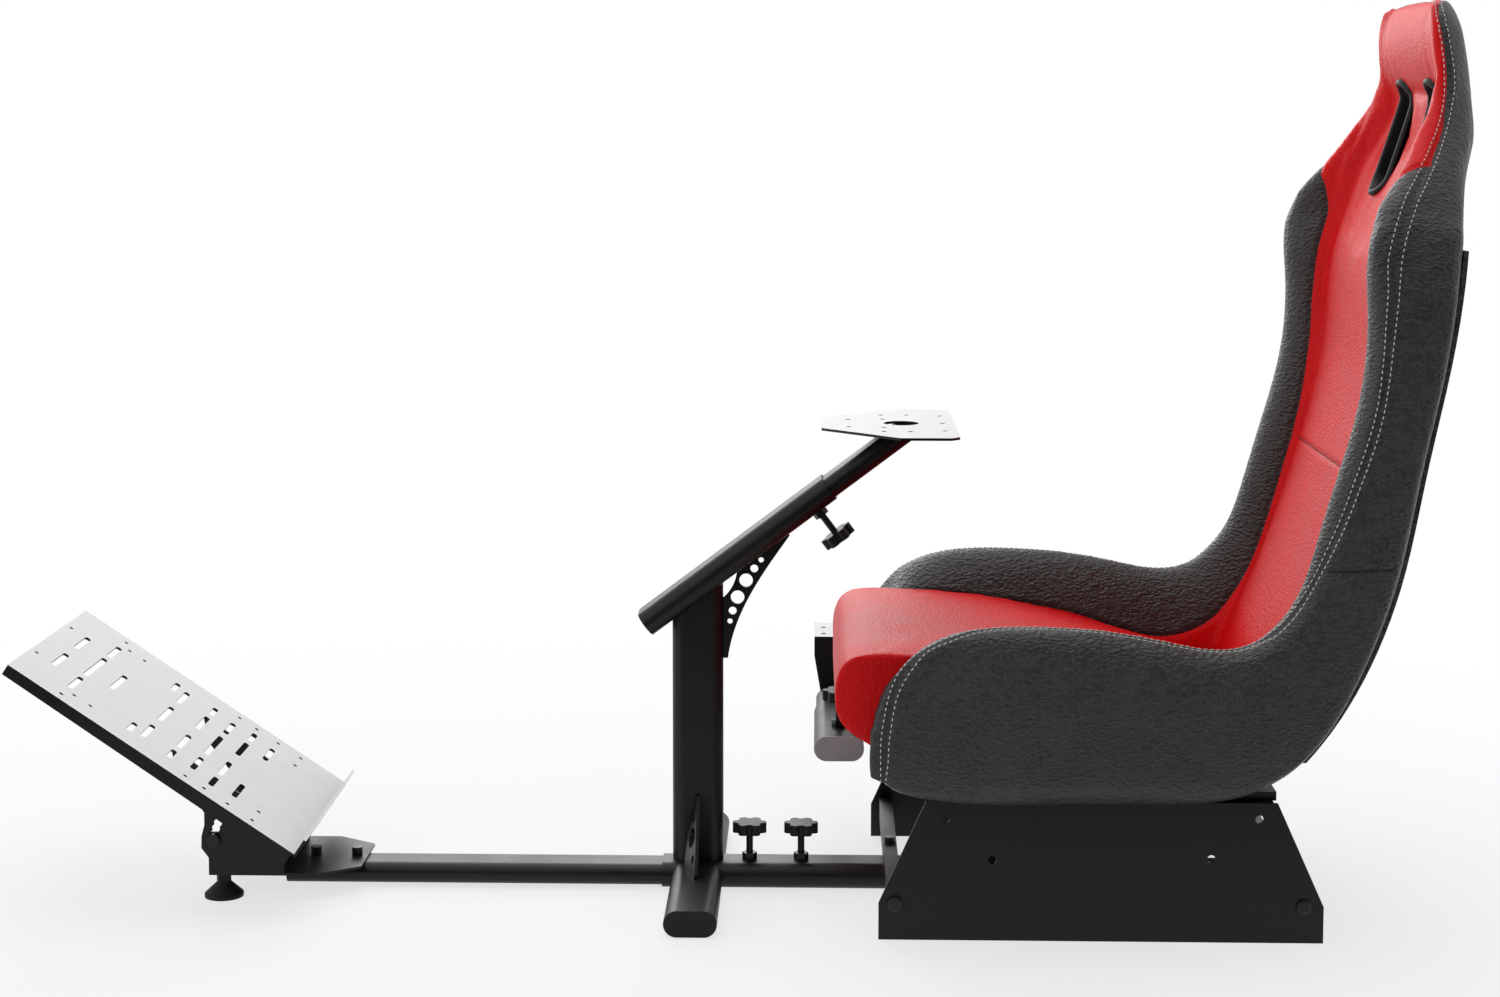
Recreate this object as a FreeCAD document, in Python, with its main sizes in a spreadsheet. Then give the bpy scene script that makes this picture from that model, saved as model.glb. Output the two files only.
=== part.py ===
import FreeCAD, Part
import Sketcher
import math
import os

# Sim racing cockpit, millimetres. X runs from the pedals to the seat, Y from the
# driver's left to the right, Z up. The origin is on the floor below the wheel post.

V = FreeCAD.Vector
doc = FreeCAD.newDocument("racing_cockpit")
sheet = doc.addObject("Spreadsheet::Sheet", "Sizes")

SIZES = [
    # flat-oval tubes
    ("tube_width", 60.0), ("tube_height", 30.0), ("tube_wall", 2.0), ("slide_gap", 0.5),
    ("foot_span", 404.0), ("cap_depth", 3.0), ("weld_gap", 0.2),
    ("base_front", 42.0), ("base_tail", 9.0),
    # wheel column
    ("column_height", 360.0), ("column_angle", 37.0), ("column_below", 76.0), ("column_above", 193.0),
    ("wheel_plate_height", 551.0), ("plate_thickness", 3.0), ("wheel_tube_inside", 150.0),
    ("wheel_plate_lead", 104.5), ("wheel_plate_length", 155.0), ("wheel_plate_half", 134.0),
    ("wheel_plate_nose", 47.0), ("wheel_plate_taper", 88.0), ("wheel_plate_corner", 10.0),
    ("gusset_thickness", 4.0), ("post_gusset_height", 80.0),
    ("post_gusset_foot", 70.0), ("post_gusset_lean", 20.0), ("post_gusset_clip", 34.0), ("weld_relief", 18.0),
    # clamp knobs
    ("stud_diameter", 8.0), ("knob_diameter", 40.0), ("knob_thickness", 12.5), ("knob_neck", 24.0),
    ("nut_height", 8.0), ("nut_width", 17.6), ("knob_first", 61.0), ("knob_pitch", 61.0),
    ("column_knob_back", 27.0), ("fit_gap", 0.3),
    # seat brackets and bars
    ("bracket_front", 209.0), ("bracket_length", 490.0), ("bracket_height", 157.0), ("bracket_step", 41.0),
    ("bracket_slope", 52.0), ("bracket_gauge", 3.0), ("bracket_half_span", 202.0), ("bracket_flange", 28.0),
    ("bar_inset", 18.0), ("bar_width", 16.0), ("bar_height", 22.0), ("bolt_head", 16.5),
    ("pan_thickness", 10.0), ("pan_half_width", 190.0),
    # pedals
    ("pedal_tube_front", 487.0), ("pedal_tube_inside", 200.0), ("pedal_base_half", 76.0),
    ("pedal_base_front", 567.0), ("pedal_base_length", 127.0), ("pedal_tongue", 46.0),
    ("pivot_front", 487.0), ("pivot_height", 62.0), ("deck_slope", 33.9), ("deck_length", 390.0),
    ("deck_width", 308.0), ("deck_rise", 32.5), ("deck_reach", 25.1), ("deck_flange", 13.0),
    ("deck_lip", 20.0),
    ("notch_radius", 73.6), ("notch_pitch", 5.3), ("notch_hole", 4.8), ("tilt_bolt", 6.0),
    ("foot_disc", 45.0), ("levelling_inset", 11.0), ("levelling_set", 15.0), ("levelling_stud", 9.0),
    # shifter
    ("shifter_lead", 42.0), ("shifter_height", 152.5), ("shifter_near", 40.0), ("shifter_far", 222.0),
    ("shifter_plate_near", 300.0), ("shifter_plate_height", 234.0), ("shifter_plate_depth", 90.0),
    # seat
    ("seat_half_width", 268.0), ("crest_half_width", 248.0), ("insert_half_width", 200.0),
    ("seat_depth", 717.0), ("seat_rise", 873.0), ("slot_width", 44.0), ("slot_length", 126.0),
    ("slot_offset", 74.0), ("slot_lean", 9.0), ("slot_height", 716.0),
]
for row, (name, value) in enumerate(SIZES, 1):
    sheet.set("A%d" % row, name)
    sheet.set("B%d" % row, str(value))
    sheet.setAlias("B%d" % row, name)
doc.recompute()

NODES = []


def expr(text):
    """Puts the sheet's name before each alias, so that short texts read as formulas."""
    for name, _ in sorted(SIZES, key=lambda item: -len(item[0])):
        text = text.replace("<" + name + ">", "Sizes." + name)
    return text


def number(text):
    """Value of a formula."""
    return float(sheet.evalExpression(expr(str(text))))


def bind(item, prop, text):
    item.setExpression(prop, expr(str(text)))


def locate(item, x="0", y="0", z="0"):
    for axis, text in zip("xyz", (x, y, z)):
        bind(item, "Placement.Base." + axis, text)


def export_node(item, label):
    item.Label = label
    NODES.append((item, label))
    return item


def new_body(name):
    return doc.addObject("PartDesign::Body", name)


def new_sketch(body, plane, offset="0"):
    sketch = body.newObject("Sketcher::SketchObject", body.Name + "_sketch")
    support = [item for item in body.Origin.OriginFeatures if item.Role == plane][0]
    sketch.AttachmentSupport = [(support, "")]
    sketch.MapMode = "FlatFace"
    if offset != "0":
        bind(sketch, "AttachmentOffset.Base.z", offset)
    return sketch


def pin(sketch, geo, pos, x, y):
    """Holds one point of a sketch at two formulas."""
    for kind, text, axis in (("DistanceX", x, -2), ("DistanceY", y, -1)):
        value = number(text)
        if abs(value) < 1e-9:
            sketch.addConstraint(Sketcher.Constraint("PointOnObject", geo, pos, axis))
            continue
        index = sketch.addConstraint(Sketcher.Constraint(kind, -1, 1, geo, pos, value))
        bind(sketch, "Constraints[%d]" % index, text)


def add_polygon(sketch, points):
    spots = [V(number(x), number(y), 0) for x, y in points]
    count = len(spots)
    first = sketch.GeometryCount
    for i in range(count):
        sketch.addGeometry(Part.LineSegment(spots[i], spots[(i + 1) % count]))
    for i in range(count):
        sketch.addConstraint(Sketcher.Constraint("Coincident", first + i, 2, first + (i + 1) % count, 1))
    for i, (x, y) in enumerate(points):
        pin(sketch, first + i, 1, x, y)


def add_circle(sketch, x, y, radius):
    geo = sketch.addGeometry(Part.Circle(V(number(x), number(y), 0), V(0, 0, 1), number(radius)))
    pin(sketch, geo, 3, x, y)
    index = sketch.addConstraint(Sketcher.Constraint("Radius", geo, number(radius)))
    bind(sketch, "Constraints[%d]" % index, radius)


def add_obround(sketch, width, height):
    """Flat oval about the sketch's origin, its long side along the sketch's X."""
    r = number(height) / 2
    a = number(width) / 2 - r
    first = sketch.GeometryCount
    sketch.addGeometry(Part.LineSegment(V(-a, r, 0), V(a, r, 0)))
    sketch.addGeometry(Part.ArcOfCircle(Part.Circle(V(a, 0, 0), V(0, 0, 1), r), -math.pi / 2, math.pi / 2))
    sketch.addGeometry(Part.LineSegment(V(a, -r, 0), V(-a, -r, 0)))
    sketch.addGeometry(Part.ArcOfCircle(Part.Circle(V(-a, 0, 0), V(0, 0, 1), r), math.pi / 2,
                                        3 * math.pi / 2))
    for g1, p1, g2, p2 in ((0, 2, 1, 2), (1, 1, 2, 1), (2, 2, 3, 2), (3, 1, 0, 1)):
        sketch.addConstraint(Sketcher.Constraint("Coincident", first + g1, p1, first + g2, p2))
    half = "(%s)/2" % height
    reach = "(%s)/2-(%s)/2" % (width, height)
    for arc, text in ((first + 1, reach), (first + 3, "-(%s)" % reach)):
        index = sketch.addConstraint(Sketcher.Constraint("DistanceX", -1, 1, arc, 3, number(text)))
        bind(sketch, "Constraints[%d]" % index, text)
    pin(sketch, first, 1, "-(%s)" % reach, half)
    pin(sketch, first, 2, reach, half)
    pin(sketch, first + 2, 1, reach, "-" + half)
    pin(sketch, first + 2, 2, "-(%s)" % reach, "-" + half)


def add_pad(body, sketch, length, symmetric=False, reverse=False):
    pad = body.newObject("PartDesign::Pad", body.Name + "_pad")
    pad.Profile = sketch
    bind(pad, "Length", length)
    pad.SideType = "Symmetric" if symmetric else "One side"
    pad.Reversed = reverse
    body.Tip = pad
    sketch.Visibility = False
    return pad


def add_pocket(body, sketch, length, symmetric=True, reverse=False):
    pocket = body.newObject("PartDesign::Pocket", body.Name + "_pocket")
    pocket.Profile = sketch
    bind(pocket, "Length", length)
    pocket.SideType = "Symmetric" if symmetric else "One side"
    pocket.Reversed = reverse
    body.Tip = pocket
    sketch.Visibility = False
    return pocket


def primitive(kind, name, x="0", y="0", z="0", **sizes):
    item = doc.addObject("Part::" + kind, name)
    for prop, text in sizes.items():
        bind(item, prop, text)
    locate(item, x, y, z)
    return item


def turn(item, axis, angle):
    """Turns a piece about an axis through its own origin, by a formula in degrees."""
    item.Placement = FreeCAD.Placement(item.Placement.Base, FreeCAD.Rotation(axis, max(number(angle), 1e-3)))
    bind(item, "Placement.Rotation.Angle", "(%s) * 1 deg" % angle)


def cut(name, base, tool):
    item = doc.addObject("Part::Cut", name)
    item.Base = base
    item.Tool = tool
    return item


def fuse(name, items):
    item = doc.addObject("Part::MultiFuse", name)
    item.Shapes = items
    return item


def compound(name, items):
    item = doc.addObject("Part::Compound", name)
    item.Links = items
    return item


def oval(name, plane, length, reverse=False, inner=False, solid=False, grow="0", wall="<tube_wall>"):
    """Flat-oval tube along the plane's normal, the outer one or the one that slides in it."""
    shrink = "2*<tube_wall>+2*<slide_gap>" if inner else "0"
    width = "<tube_width>-(%s)+(%s)" % (shrink, grow)
    height = "<tube_height>-(%s)+(%s)" % (shrink, grow)
    body = new_body(name)
    sketch = new_sketch(body, plane)
    add_obround(sketch, width, height)
    if not solid:
        add_obround(sketch, "%s-2*%s" % (width, wall), "%s-2*%s" % (height, wall))
    add_pad(body, sketch, length, reverse=reverse)
    return body


# Base tube and cross foot: the tubes lie on the floor, the foot in two halves welded to the sides.
BRACKET_REAR = "<bracket_front>+<bracket_length>"
base_tube = oval("base_tube", "YZ_Plane", "<base_front>+%s-<base_tail>" % BRACKET_REAR)
locate(base_tube, "-<base_front>", "0", "<tube_height>/2")
stud_holes = new_sketch(base_tube, "XY_Plane")
for count in ("0", "1"):
    add_circle(stud_holes, "<base_front>+<knob_first>+%s*<knob_pitch>" % count, "0",
               "<stud_diameter>/2+<fit_gap>")
add_pocket(base_tube, stud_holes, "<tube_height>", symmetric=False, reverse=True)
export_node(base_tube, "base_tube")

base_envelope = oval("base_envelope", "YZ_Plane", "4*<tube_width>", solid=True, grow="2*<weld_gap>")
locate(base_envelope, "-2*<tube_width>", "0", "<tube_height>/2")
FOOT_LENGTH = "<foot_span>/2-<cap_depth>-<tube_height>/2"
for side, label in ((-1, "left_foot_tube"), (1, "right_foot_tube")):
    blank = oval(label + "_blank", "XZ_Plane", FOOT_LENGTH, reverse=side > 0)
    locate(blank, "0", "%d*<tube_height>/2" % side, "<tube_height>/2")
    export_node(cut(label, blank, base_envelope), label)
    cap = oval(label.replace("tube", "cap"), "XZ_Plane", "<cap_depth>", reverse=side > 0, solid=True)
    locate(cap, "0", "%d*(<foot_span>/2-<cap_depth>)" % side, "<tube_height>/2")
    export_node(cap, label.replace("tube", "cap"))

# Upright post, its top cut to the slope of the column.
post_blank = oval("post_blank", "XY_Plane", "<column_height>")
locate(post_blank, "0", "0", "<tube_height>")
post_trim = primitive("Box", "post_trim", Length="600", Width="200", Height="400")
turn(post_trim, V(0, -1, 0), "<column_angle>")
UNDERSIDE = "<column_height>-<tube_height>/2/cos(<column_angle>)"
locate(post_trim, "-300*cos(<column_angle>)", "-100", UNDERSIDE + "-300*sin(<column_angle>)")
export_node(cut("upright_post", post_blank, post_trim), "upright_post")

# Wheel column: an outer tube on the post and an inner tube with the wheel plate.
column_tube = oval("column_tube", "YZ_Plane", "<column_below>+<column_above>")
turn(column_tube, V(0, -1, 0), "<column_angle>")
locate(column_tube, "-<column_below>*cos(<column_angle>)", "0",
       "<column_height>-<column_below>*sin(<column_angle>)")
column_hole = new_sketch(column_tube, "XY_Plane")
add_circle(column_hole, "<column_below>+<column_above>-<column_knob_back>", "0",
           "<stud_diameter>/2+<fit_gap>")
add_pocket(column_tube, column_hole, "<tube_height>", symmetric=False)
export_node(column_tube, "column_tube")

WHEEL_REACH = "(<wheel_plate_height>-<plate_thickness>-<column_height>)/sin(<column_angle>)"
WHEEL_LENGTH = WHEEL_REACH + "+<tube_width>-<column_above>+<wheel_tube_inside>"
wheel_blank = oval("wheel_blank", "YZ_Plane", WHEEL_LENGTH, inner=True)
turn(wheel_blank, V(0, -1, 0), "<column_angle>")
START = "(<column_above>-<wheel_tube_inside>)"
locate(wheel_blank, START + "*cos(<column_angle>)", "0", "<column_height>+" + START + "*sin(<column_angle>)")
wheel_trim = primitive("Box", "wheel_trim", Length="600", Width="200", Height="300",
                       x="0", y="-100", z="<wheel_plate_height>-<plate_thickness>")
export_node(cut("wheel_tube", wheel_blank, wheel_trim), "wheel_tube")

wheel_plate = new_body("wheel_plate")
outline = new_sketch(wheel_plate, "XY_Plane")
SHOULDER = "<wheel_plate_taper>"
add_polygon(outline, [
    ("0", "-<wheel_plate_nose>"), (SHOULDER, "-<wheel_plate_half>"),
    ("<wheel_plate_length>-<wheel_plate_corner>", "-<wheel_plate_half>"),
    ("<wheel_plate_length>", "-<wheel_plate_half>+<wheel_plate_corner>"),
    ("<wheel_plate_length>", "<wheel_plate_half>-<wheel_plate_corner>"),
    ("<wheel_plate_length>-<wheel_plate_corner>", "<wheel_plate_half>"),
    (SHOULDER, "<wheel_plate_half>"), ("0", "<wheel_plate_nose>")])
WHEEL_HOLES = [(93, 0, 20.5), (141, 0, 3.2)]
for x, y, r in ((71, 77, 3.2), (101.5, 77, 3.2), (31, 35, 3.2), (72, 38, 3.2), (141, 70, 3.2)):
    WHEEL_HOLES += [(x, y, r), (x, -y, r)]
for x, y, r in WHEEL_HOLES:
    add_circle(outline, str(x), str(y), str(r))
add_pad(wheel_plate, outline, "<plate_thickness>")
locate(wheel_plate, WHEEL_REACH + "*cos(<column_angle>)-<wheel_plate_lead>", "0",
       "<wheel_plate_height>-<plate_thickness>")
export_node(wheel_plate, "wheel_plate")


def spline(points):
    curve = Part.BSplineCurve()
    curve.interpolate(points)
    return curve.toShape()


# Curved web between the post and the column, with six lightening holes.
angle = math.radians(number("<column_angle>"))
post_face = number("<tube_width>/2")
under = number(UNDERSIDE)


def below_column(x, drop=0.0):
    """Point on the column's underside at x, or a little below it."""
    return V(x, 0, under + x * math.tan(angle) - drop)


corner = below_column(post_face)
tip = below_column(post_face + 76)
lower = V(post_face, 0, corner.z - 92)
outer_edge = spline([lower + V(5.5, 0, 0), corner + V(22, 0, -36), corner + V(45, 0, 6), tip + V(2, 0, -3.2)])
inner_edge = Part.Arc(below_column(post_face + 16), corner + V(11, 0, -6), corner + V(0, 0, -20)).toShape()
edges = [inner_edge]
chain = [inner_edge.Vertexes[-1].Point, lower, lower + V(5.5, 0, 0)]
edges += [Part.makeLine(chain[0], chain[1]), Part.makeLine(chain[1], chain[2]), outer_edge]
edges += [Part.makeLine(tip + V(2, 0, -3.2), tip), Part.makeLine(tip, below_column(post_face + 16))]
web = Part.Face(Part.Wire(Part.__sortEdges__(edges)))
GUSSET_HOLES = [(44.5, 24.8, 3.2), (36.4, 14.5, 4.7), (26.8, 0.5, 8.0), (16.8, -19.6, 8.0), (11, -35.8, 4.7),
                (7.9, -48.3, 3.2)]
web_solid = web.extrude(V(0, number("<gusset_thickness>"), 0))
for x, z, r in GUSSET_HOLES:
    web_solid = web_solid.cut(Part.makeCylinder(r, 20, corner + V(x, -5, z + 0.2), V(0, 1, 0)))
web_solid.translate(V(0, -number("<gusset_thickness>") / 2, 0))
column_gusset = doc.addObject("Part::Feature", "column_gusset")
column_gusset.Shape = web_solid
export_node(column_gusset, "column_gusset")

# Side gussets between the post and the foot: each leans about its long edge, is clipped at the inner
# corner, has three holes, and is trimmed flush with the post and the foot.
post_block = primitive("Box", "post_block", Length="2*<tube_width>", Width="<tube_height>",
                       Height="<column_height>",
                       x="-<tube_width>", y="-<tube_height>/2", z="0")
foot_block = primitive("Box", "foot_block", Length="2*<tube_width>", Width="<foot_span>",
                       Height="<tube_height>",
                       x="-<tube_width>", y="-<foot_span>/2", z="0")
gusset_seat = fuse("gusset_seat", [post_block, foot_block])
LOW = "-<post_gusset_height>"
for side, label in ((-1, "left_post_gusset"), (1, "right_post_gusset")):
    plate = new_body(label + "_blank")
    outline = new_sketch(plate, "YZ_Plane")
    clip = "<weld_relief>/<post_gusset_clip>"
    corners = [("-10", "0"), ("6", "0"), ("<post_gusset_foot>", LOW + "+5"),
               ("<post_gusset_foot>", LOW + "-12"),
               ("<weld_relief>+12*" + clip, LOW + "-12"), ("-20*" + clip, LOW + "+<post_gusset_clip>+20")]
    add_polygon(outline, [("%d*(%s)" % (side, y), z) for y, z in corners])
    for along, down, r in ((12, 25, 5.0), (24, 45, 11.5), (47, 64, 5.0)):
        add_circle(outline, str(side * along), "-%s" % down, str(r))
    add_pad(plate, outline, "<gusset_thickness>", symmetric=True)
    long_edge = V(0, side * number("<post_gusset_foot>-6"), number(LOW + "+5"))
    turn(plate, long_edge * side, "<post_gusset_lean>")
    locate(plate, "0", "%d*<tube_height>/2" % side, "<tube_height>+<post_gusset_height>")
    export_node(cut(label, plate, gusset_seat), label)


# Clamp knobs, each with its welded nut: the stud passes the tube wall and stops at the inner tube.
def knob(label, x, y, z, spin=None):
    """Knob on the tube wall at a point, turned from upright by spin. Lobes ring a round core."""
    pieces = [primitive("Cylinder", label + "_stud", Radius="<stud_diameter>/2",
                        Height="<knob_neck>+<nut_height>+<tube_wall>+<slide_gap>-<fit_gap>",
                        z="-<tube_wall>-<slide_gap>+<fit_gap>")]
    head_base = "<nut_height>+<knob_neck>"
    pieces.append(primitive("Cylinder", label + "_core", Radius="<knob_diameter>/2-5",
                            Height="<knob_thickness>",
                            z=head_base))
    for lobe in range(6):
        bearing = "%d" % (lobe * 60)
        pieces.append(primitive("Cylinder", label + "_lobe%d" % lobe, Radius="<knob_diameter>/7",
                                Height="<knob_thickness>", x="<knob_diameter>*0.357*cos(%s)" % bearing,
                                y="<knob_diameter>*0.357*sin(%s)" % bearing, z=head_base))
    item = fuse(label, pieces)
    if spin:
        turn(item, V(0, spin[0], 0), spin[1])
    locate(item, x, y, z)
    export_node(item, label)
    block = primitive("Prism", label + "_nut_block", Circumradius="<nut_width>/2", Height="<nut_height>")
    block.Polygon = 6
    bore = primitive("Cylinder", label + "_nut_bore", Radius="<stud_diameter>/2+<fit_gap>",
                     Height="<nut_height>")
    nut = cut(label + "_nut", block, bore)
    if spin:
        turn(nut, V(0, spin[0], 0), spin[1])
    locate(nut, x, y, z)
    return nut


nuts = []
for count, label in enumerate(("pedal_knob_front", "pedal_knob_rear")):
    nuts.append(knob(label, "<knob_first>+%d*<knob_pitch>" % count, "0", "<tube_height>"))
KNOB_ALONG = "(<column_above>-<column_knob_back>)"
nuts.append(knob("column_knob",
                 KNOB_ALONG + "*cos(<column_angle>)+<tube_height>/2*sin(<column_angle>)", "0",
                 "<column_height>+" + KNOB_ALONG + "*sin(<column_angle>)-<tube_height>/2*cos(<column_angle>)",
                 (1, "180-<column_angle>")))
SHIFTER_X = "<bracket_front>-<shifter_lead>"
nuts.append(knob("shifter_knob", SHIFTER_X, "<shifter_near>+55",
                 "<shifter_height>+<tube_height>/2"))
export_node(compound("clamp_nuts", nuts), "clamp_nuts")

# Seat brackets: bent sheet with a top flange, held apart by two bars across the base tube.
BAR_HEIGHT = "<tube_height>+<bar_height>/2"
BAR_SPOTS = ("<bracket_front>+<bar_inset>", BRACKET_REAR + "-<bar_inset>-4")
for side, label in ((-1, "left_seat_bracket"), (1, "right_seat_bracket")):
    bracket = new_body(label)
    profile = new_sketch(bracket, "XZ_Plane")
    add_polygon(profile, [
        ("<bracket_front>", "0"), (BRACKET_REAR, "0"), (BRACKET_REAR, "<bracket_step>"),
        (BRACKET_REAR + "-<bracket_slope>", "<bracket_height>"),
        ("<bracket_front>+<bracket_slope>", "<bracket_height>"), ("<bracket_front>", "<bracket_step>")])
    for x, z in (("74", "-20"), ("<bracket_length>-72", "-18"), ("125", "-66"),
                 ("<bracket_length>-124", "-63")):
        add_circle(profile, "<bracket_front>+" + x, "<bracket_height>" + z, "4.5")
    for spot in BAR_SPOTS:
        add_circle(profile, spot, BAR_HEIGHT, "<stud_diameter>/2+<fit_gap>")
    add_pad(bracket, profile, "<bracket_gauge>", reverse=side < 0)
    flange = new_sketch(bracket, "XZ_Plane")
    add_polygon(flange, [
        ("<bracket_front>+<bracket_slope>+4", "<bracket_height>-<bracket_gauge>"),
        (BRACKET_REAR + "-<bracket_slope>-4", "<bracket_height>-<bracket_gauge>"),
        (BRACKET_REAR + "-<bracket_slope>-4", "<bracket_height>"),
        ("<bracket_front>+<bracket_slope>+4", "<bracket_height>")])
    add_pad(bracket, flange, "<bracket_flange>", reverse=side < 0)
    locate(bracket, "0", "%d*<bracket_half_span>" % side, "0")
    export_node(bracket, label)

bolts = []
for spot, label in zip(BAR_SPOTS, ("front_seat_bar", "rear_seat_bar")):
    half = "(<bracket_half_span>-<bracket_gauge>)"
    block = primitive("Box", label + "_block", Length="<bar_width>", Width="2*" + half, Height="<bar_height>",
                      x=spot + "-<bar_width>/2", y="-" + half, z="<tube_height>")
    bores = []
    for side in (-1, 1):
        name = "%s_bore%d" % (label, side + 1)
        bore = primitive("Cylinder", name, Radius="<stud_diameter>/2+<fit_gap>", Height="30")
        turn(bore, V(1, 0, 0), "90")
        locate(bore, spot, "%d*%s+15" % (side, half), BAR_HEIGHT)
        bores.append(bore)
        shank = primitive("Cylinder", name + "_shank", Radius="<stud_diameter>/2",
                          Height="<bracket_gauge>+10")
        turn(shank, V(-side, 0, 0), "90")
        locate(shank, spot, "%d*(%s-10)" % (side, half), BAR_HEIGHT)
        head = primitive("Cylinder", name + "_head", Radius="<bolt_head>/2", Height="3.5")
        turn(head, V(-side, 0, 0), "90")
        locate(head, spot, "%d*<bracket_half_span>" % side, BAR_HEIGHT)
        dome = primitive("Cone", name + "_dome", Radius1="<bolt_head>/2", Radius2="<bolt_head>/2-3",
                         Height="1.6")
        turn(dome, V(-side, 0, 0), "90")
        locate(dome, spot, "%d*(<bracket_half_span>+3.5)" % side, BAR_HEIGHT)
        bolts.append(fuse(name + "_bolt", [shank, head, dome]))
    export_node(cut(label, block, fuse(label + "_bores", bores)), label)
export_node(compound("bracket_bolts", bolts), "bracket_bolts")
bar_screws = [primitive("Cylinder", "bar_screw%d" % i, Radius="6.5", Height="6", x=spot,
                        z="<tube_height>+<bar_height>") for i, spot in enumerate(BAR_SPOTS)]
export_node(compound("bar_screws", bar_screws), "bar_screws")

pan = primitive("Box", "seat_pan", Length="<bracket_length>-2*<bracket_slope>", Width="2*<pan_half_width>",
                Height="<pan_thickness>", x="<bracket_front>+<bracket_slope>", y="-<pan_half_width>",
                z="<bracket_height>")
export_node(pan, "seat_pan")

# Pedal slide: inner tube, bent base plate, two levelling feet.
BASE_LOW = "<tube_height>-<tube_wall>-<slide_gap>"
pedal_tube = oval("pedal_tube", "YZ_Plane", "<pedal_tube_front>+<pedal_tube_inside>", inner=True)
locate(pedal_tube, "-<pedal_tube_front>", "0", "<tube_height>/2")
export_node(pedal_tube, "pedal_tube")

pedal_base = new_body("pedal_base")
plan = new_sketch(pedal_base, "XY_Plane")
FRONT = "-<pedal_base_front>"
add_polygon(plan, [
    (FRONT, "-<pedal_base_half>"), (FRONT + "+<pedal_base_length>", "-<pedal_base_half>"),
    (FRONT + "+<pedal_base_length>+46", "-<pedal_tongue>"),
    (FRONT + "+<pedal_base_length>+46", "<pedal_tongue>"),
    (FRONT + "+<pedal_base_length>", "<pedal_base_half>"), (FRONT, "<pedal_base_half>")])
add_pad(pedal_base, plan, "<plate_thickness>")
walls = new_sketch(pedal_base, "XZ_Plane")
WALL_RISE = "<pivot_height>-(" + BASE_LOW + ")"
BOLT_X = "-<pivot_front>-<notch_radius>*cos(6.8)"
BOLT_RISE = WALL_RISE + "+<notch_radius>*sin(6.8)"
add_polygon(walls, [
    (FRONT, "0"), ("-<pivot_front>+8", "0"), ("-<pivot_front>+8", WALL_RISE + "+4"),
    ("-<pivot_front>+4", WALL_RISE + "+9"), ("-<pivot_front>-12", WALL_RISE + "+9"),
    (BOLT_X + "+14", BOLT_RISE + "-2"), (BOLT_X + "+6", BOLT_RISE + "+8"), (BOLT_X + "-6", BOLT_RISE + "+8"),
    (BOLT_X + "-10", BOLT_RISE + "+2"), (BOLT_X + "-10", BOLT_RISE + "-10"), (FRONT, BOLT_RISE + "-18")])
add_circle(walls, "-<pivot_front>", WALL_RISE, "<tilt_bolt>/2")
add_circle(walls, BOLT_X, BOLT_RISE, "<tilt_bolt>/2")
add_pad(pedal_base, walls, "2*<pedal_base_half>", symmetric=True)
hollow = new_sketch(pedal_base, "XZ_Plane")
add_polygon(hollow, [
    (FRONT + "-20", "<plate_thickness>"), ("-<pivot_front>+20", "<plate_thickness>"),
    ("-<pivot_front>+20", "120"), (FRONT + "-20", "120")])
add_pocket(pedal_base, hollow, "2*<pedal_base_half>-2*<plate_thickness>")
LEVEL_SPREAD = "(<pedal_base_half>-<levelling_inset>)"
foot_holes = new_sketch(pedal_base, "XY_Plane")
for side in ("-", ""):
    add_circle(foot_holes, FRONT + "+<levelling_set>", side + LEVEL_SPREAD, "<levelling_stud>/2+<fit_gap>")
add_pocket(pedal_base, foot_holes, "3*<plate_thickness>")
locate(pedal_base, "0", "0", BASE_LOW)
export_node(pedal_base, "pedal_base")

tops = [primitive("Cylinder", "base_screw%d" % i, Radius="6.3", Height="10", x="%s+%d" % (FRONT, reach),
                  z=BASE_LOW + "+<plate_thickness>") for i, reach in enumerate((111, 160))]
export_node(compound("base_screws", tops), "base_screws")

for side, label in ((-1, "left_levelling_foot"), (1, "right_levelling_foot")):
    spot = {"x": FRONT + "+<levelling_set>", "y": "%d*%s" % (side, LEVEL_SPREAD)}
    disc = primitive("Cylinder", label + "_disc", Radius="<foot_disc>/2", Height="4", **spot)
    cone = primitive("Cone", label + "_cone", Radius1="<foot_disc>/2", Radius2="7.5", Height="14", z="4",
                     **spot)
    neck = primitive("Prism", label + "_nut", Circumradius="8.5", Height=BASE_LOW + "-18", z="18", **spot)
    neck.Polygon = 6
    stud = primitive("Cylinder", label + "_stud", Radius="<levelling_stud>/2", Height="30", z="18", **spot)
    export_node(fuse(label, [disc, cone, neck, stud]), label)

pins = []
for side in (-1, 1):
    for name, x, z, head in (("pivot", "-<pivot_front>", "<pivot_height>", 6.5),
                             ("tilt", BOLT_X, BASE_LOW + "+" + BOLT_RISE, 7.5)):
        tag = "%s_pin%d" % (name, side + 1)
        shank = primitive("Cylinder", tag + "_shank", Radius="<tilt_bolt>/2",
                          Height="2*<plate_thickness>+2*<fit_gap>")
        turn(shank, V(-side, 0, 0), "90")
        locate(shank, x, "%d*(<pedal_base_half>-<plate_thickness>)" % side, z)
        cover = primitive("Cylinder", tag + "_head", Radius=str(head), Height="5")
        turn(cover, V(-side, 0, 0), "90")
        locate(cover, x, "%d*(<pedal_base_half>+<plate_thickness>+2*<fit_gap>)" % side, z)
        pins.append(fuse(tag, [shank, cover]))
export_node(compound("tilt_pins", pins), "tilt_pins")

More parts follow.
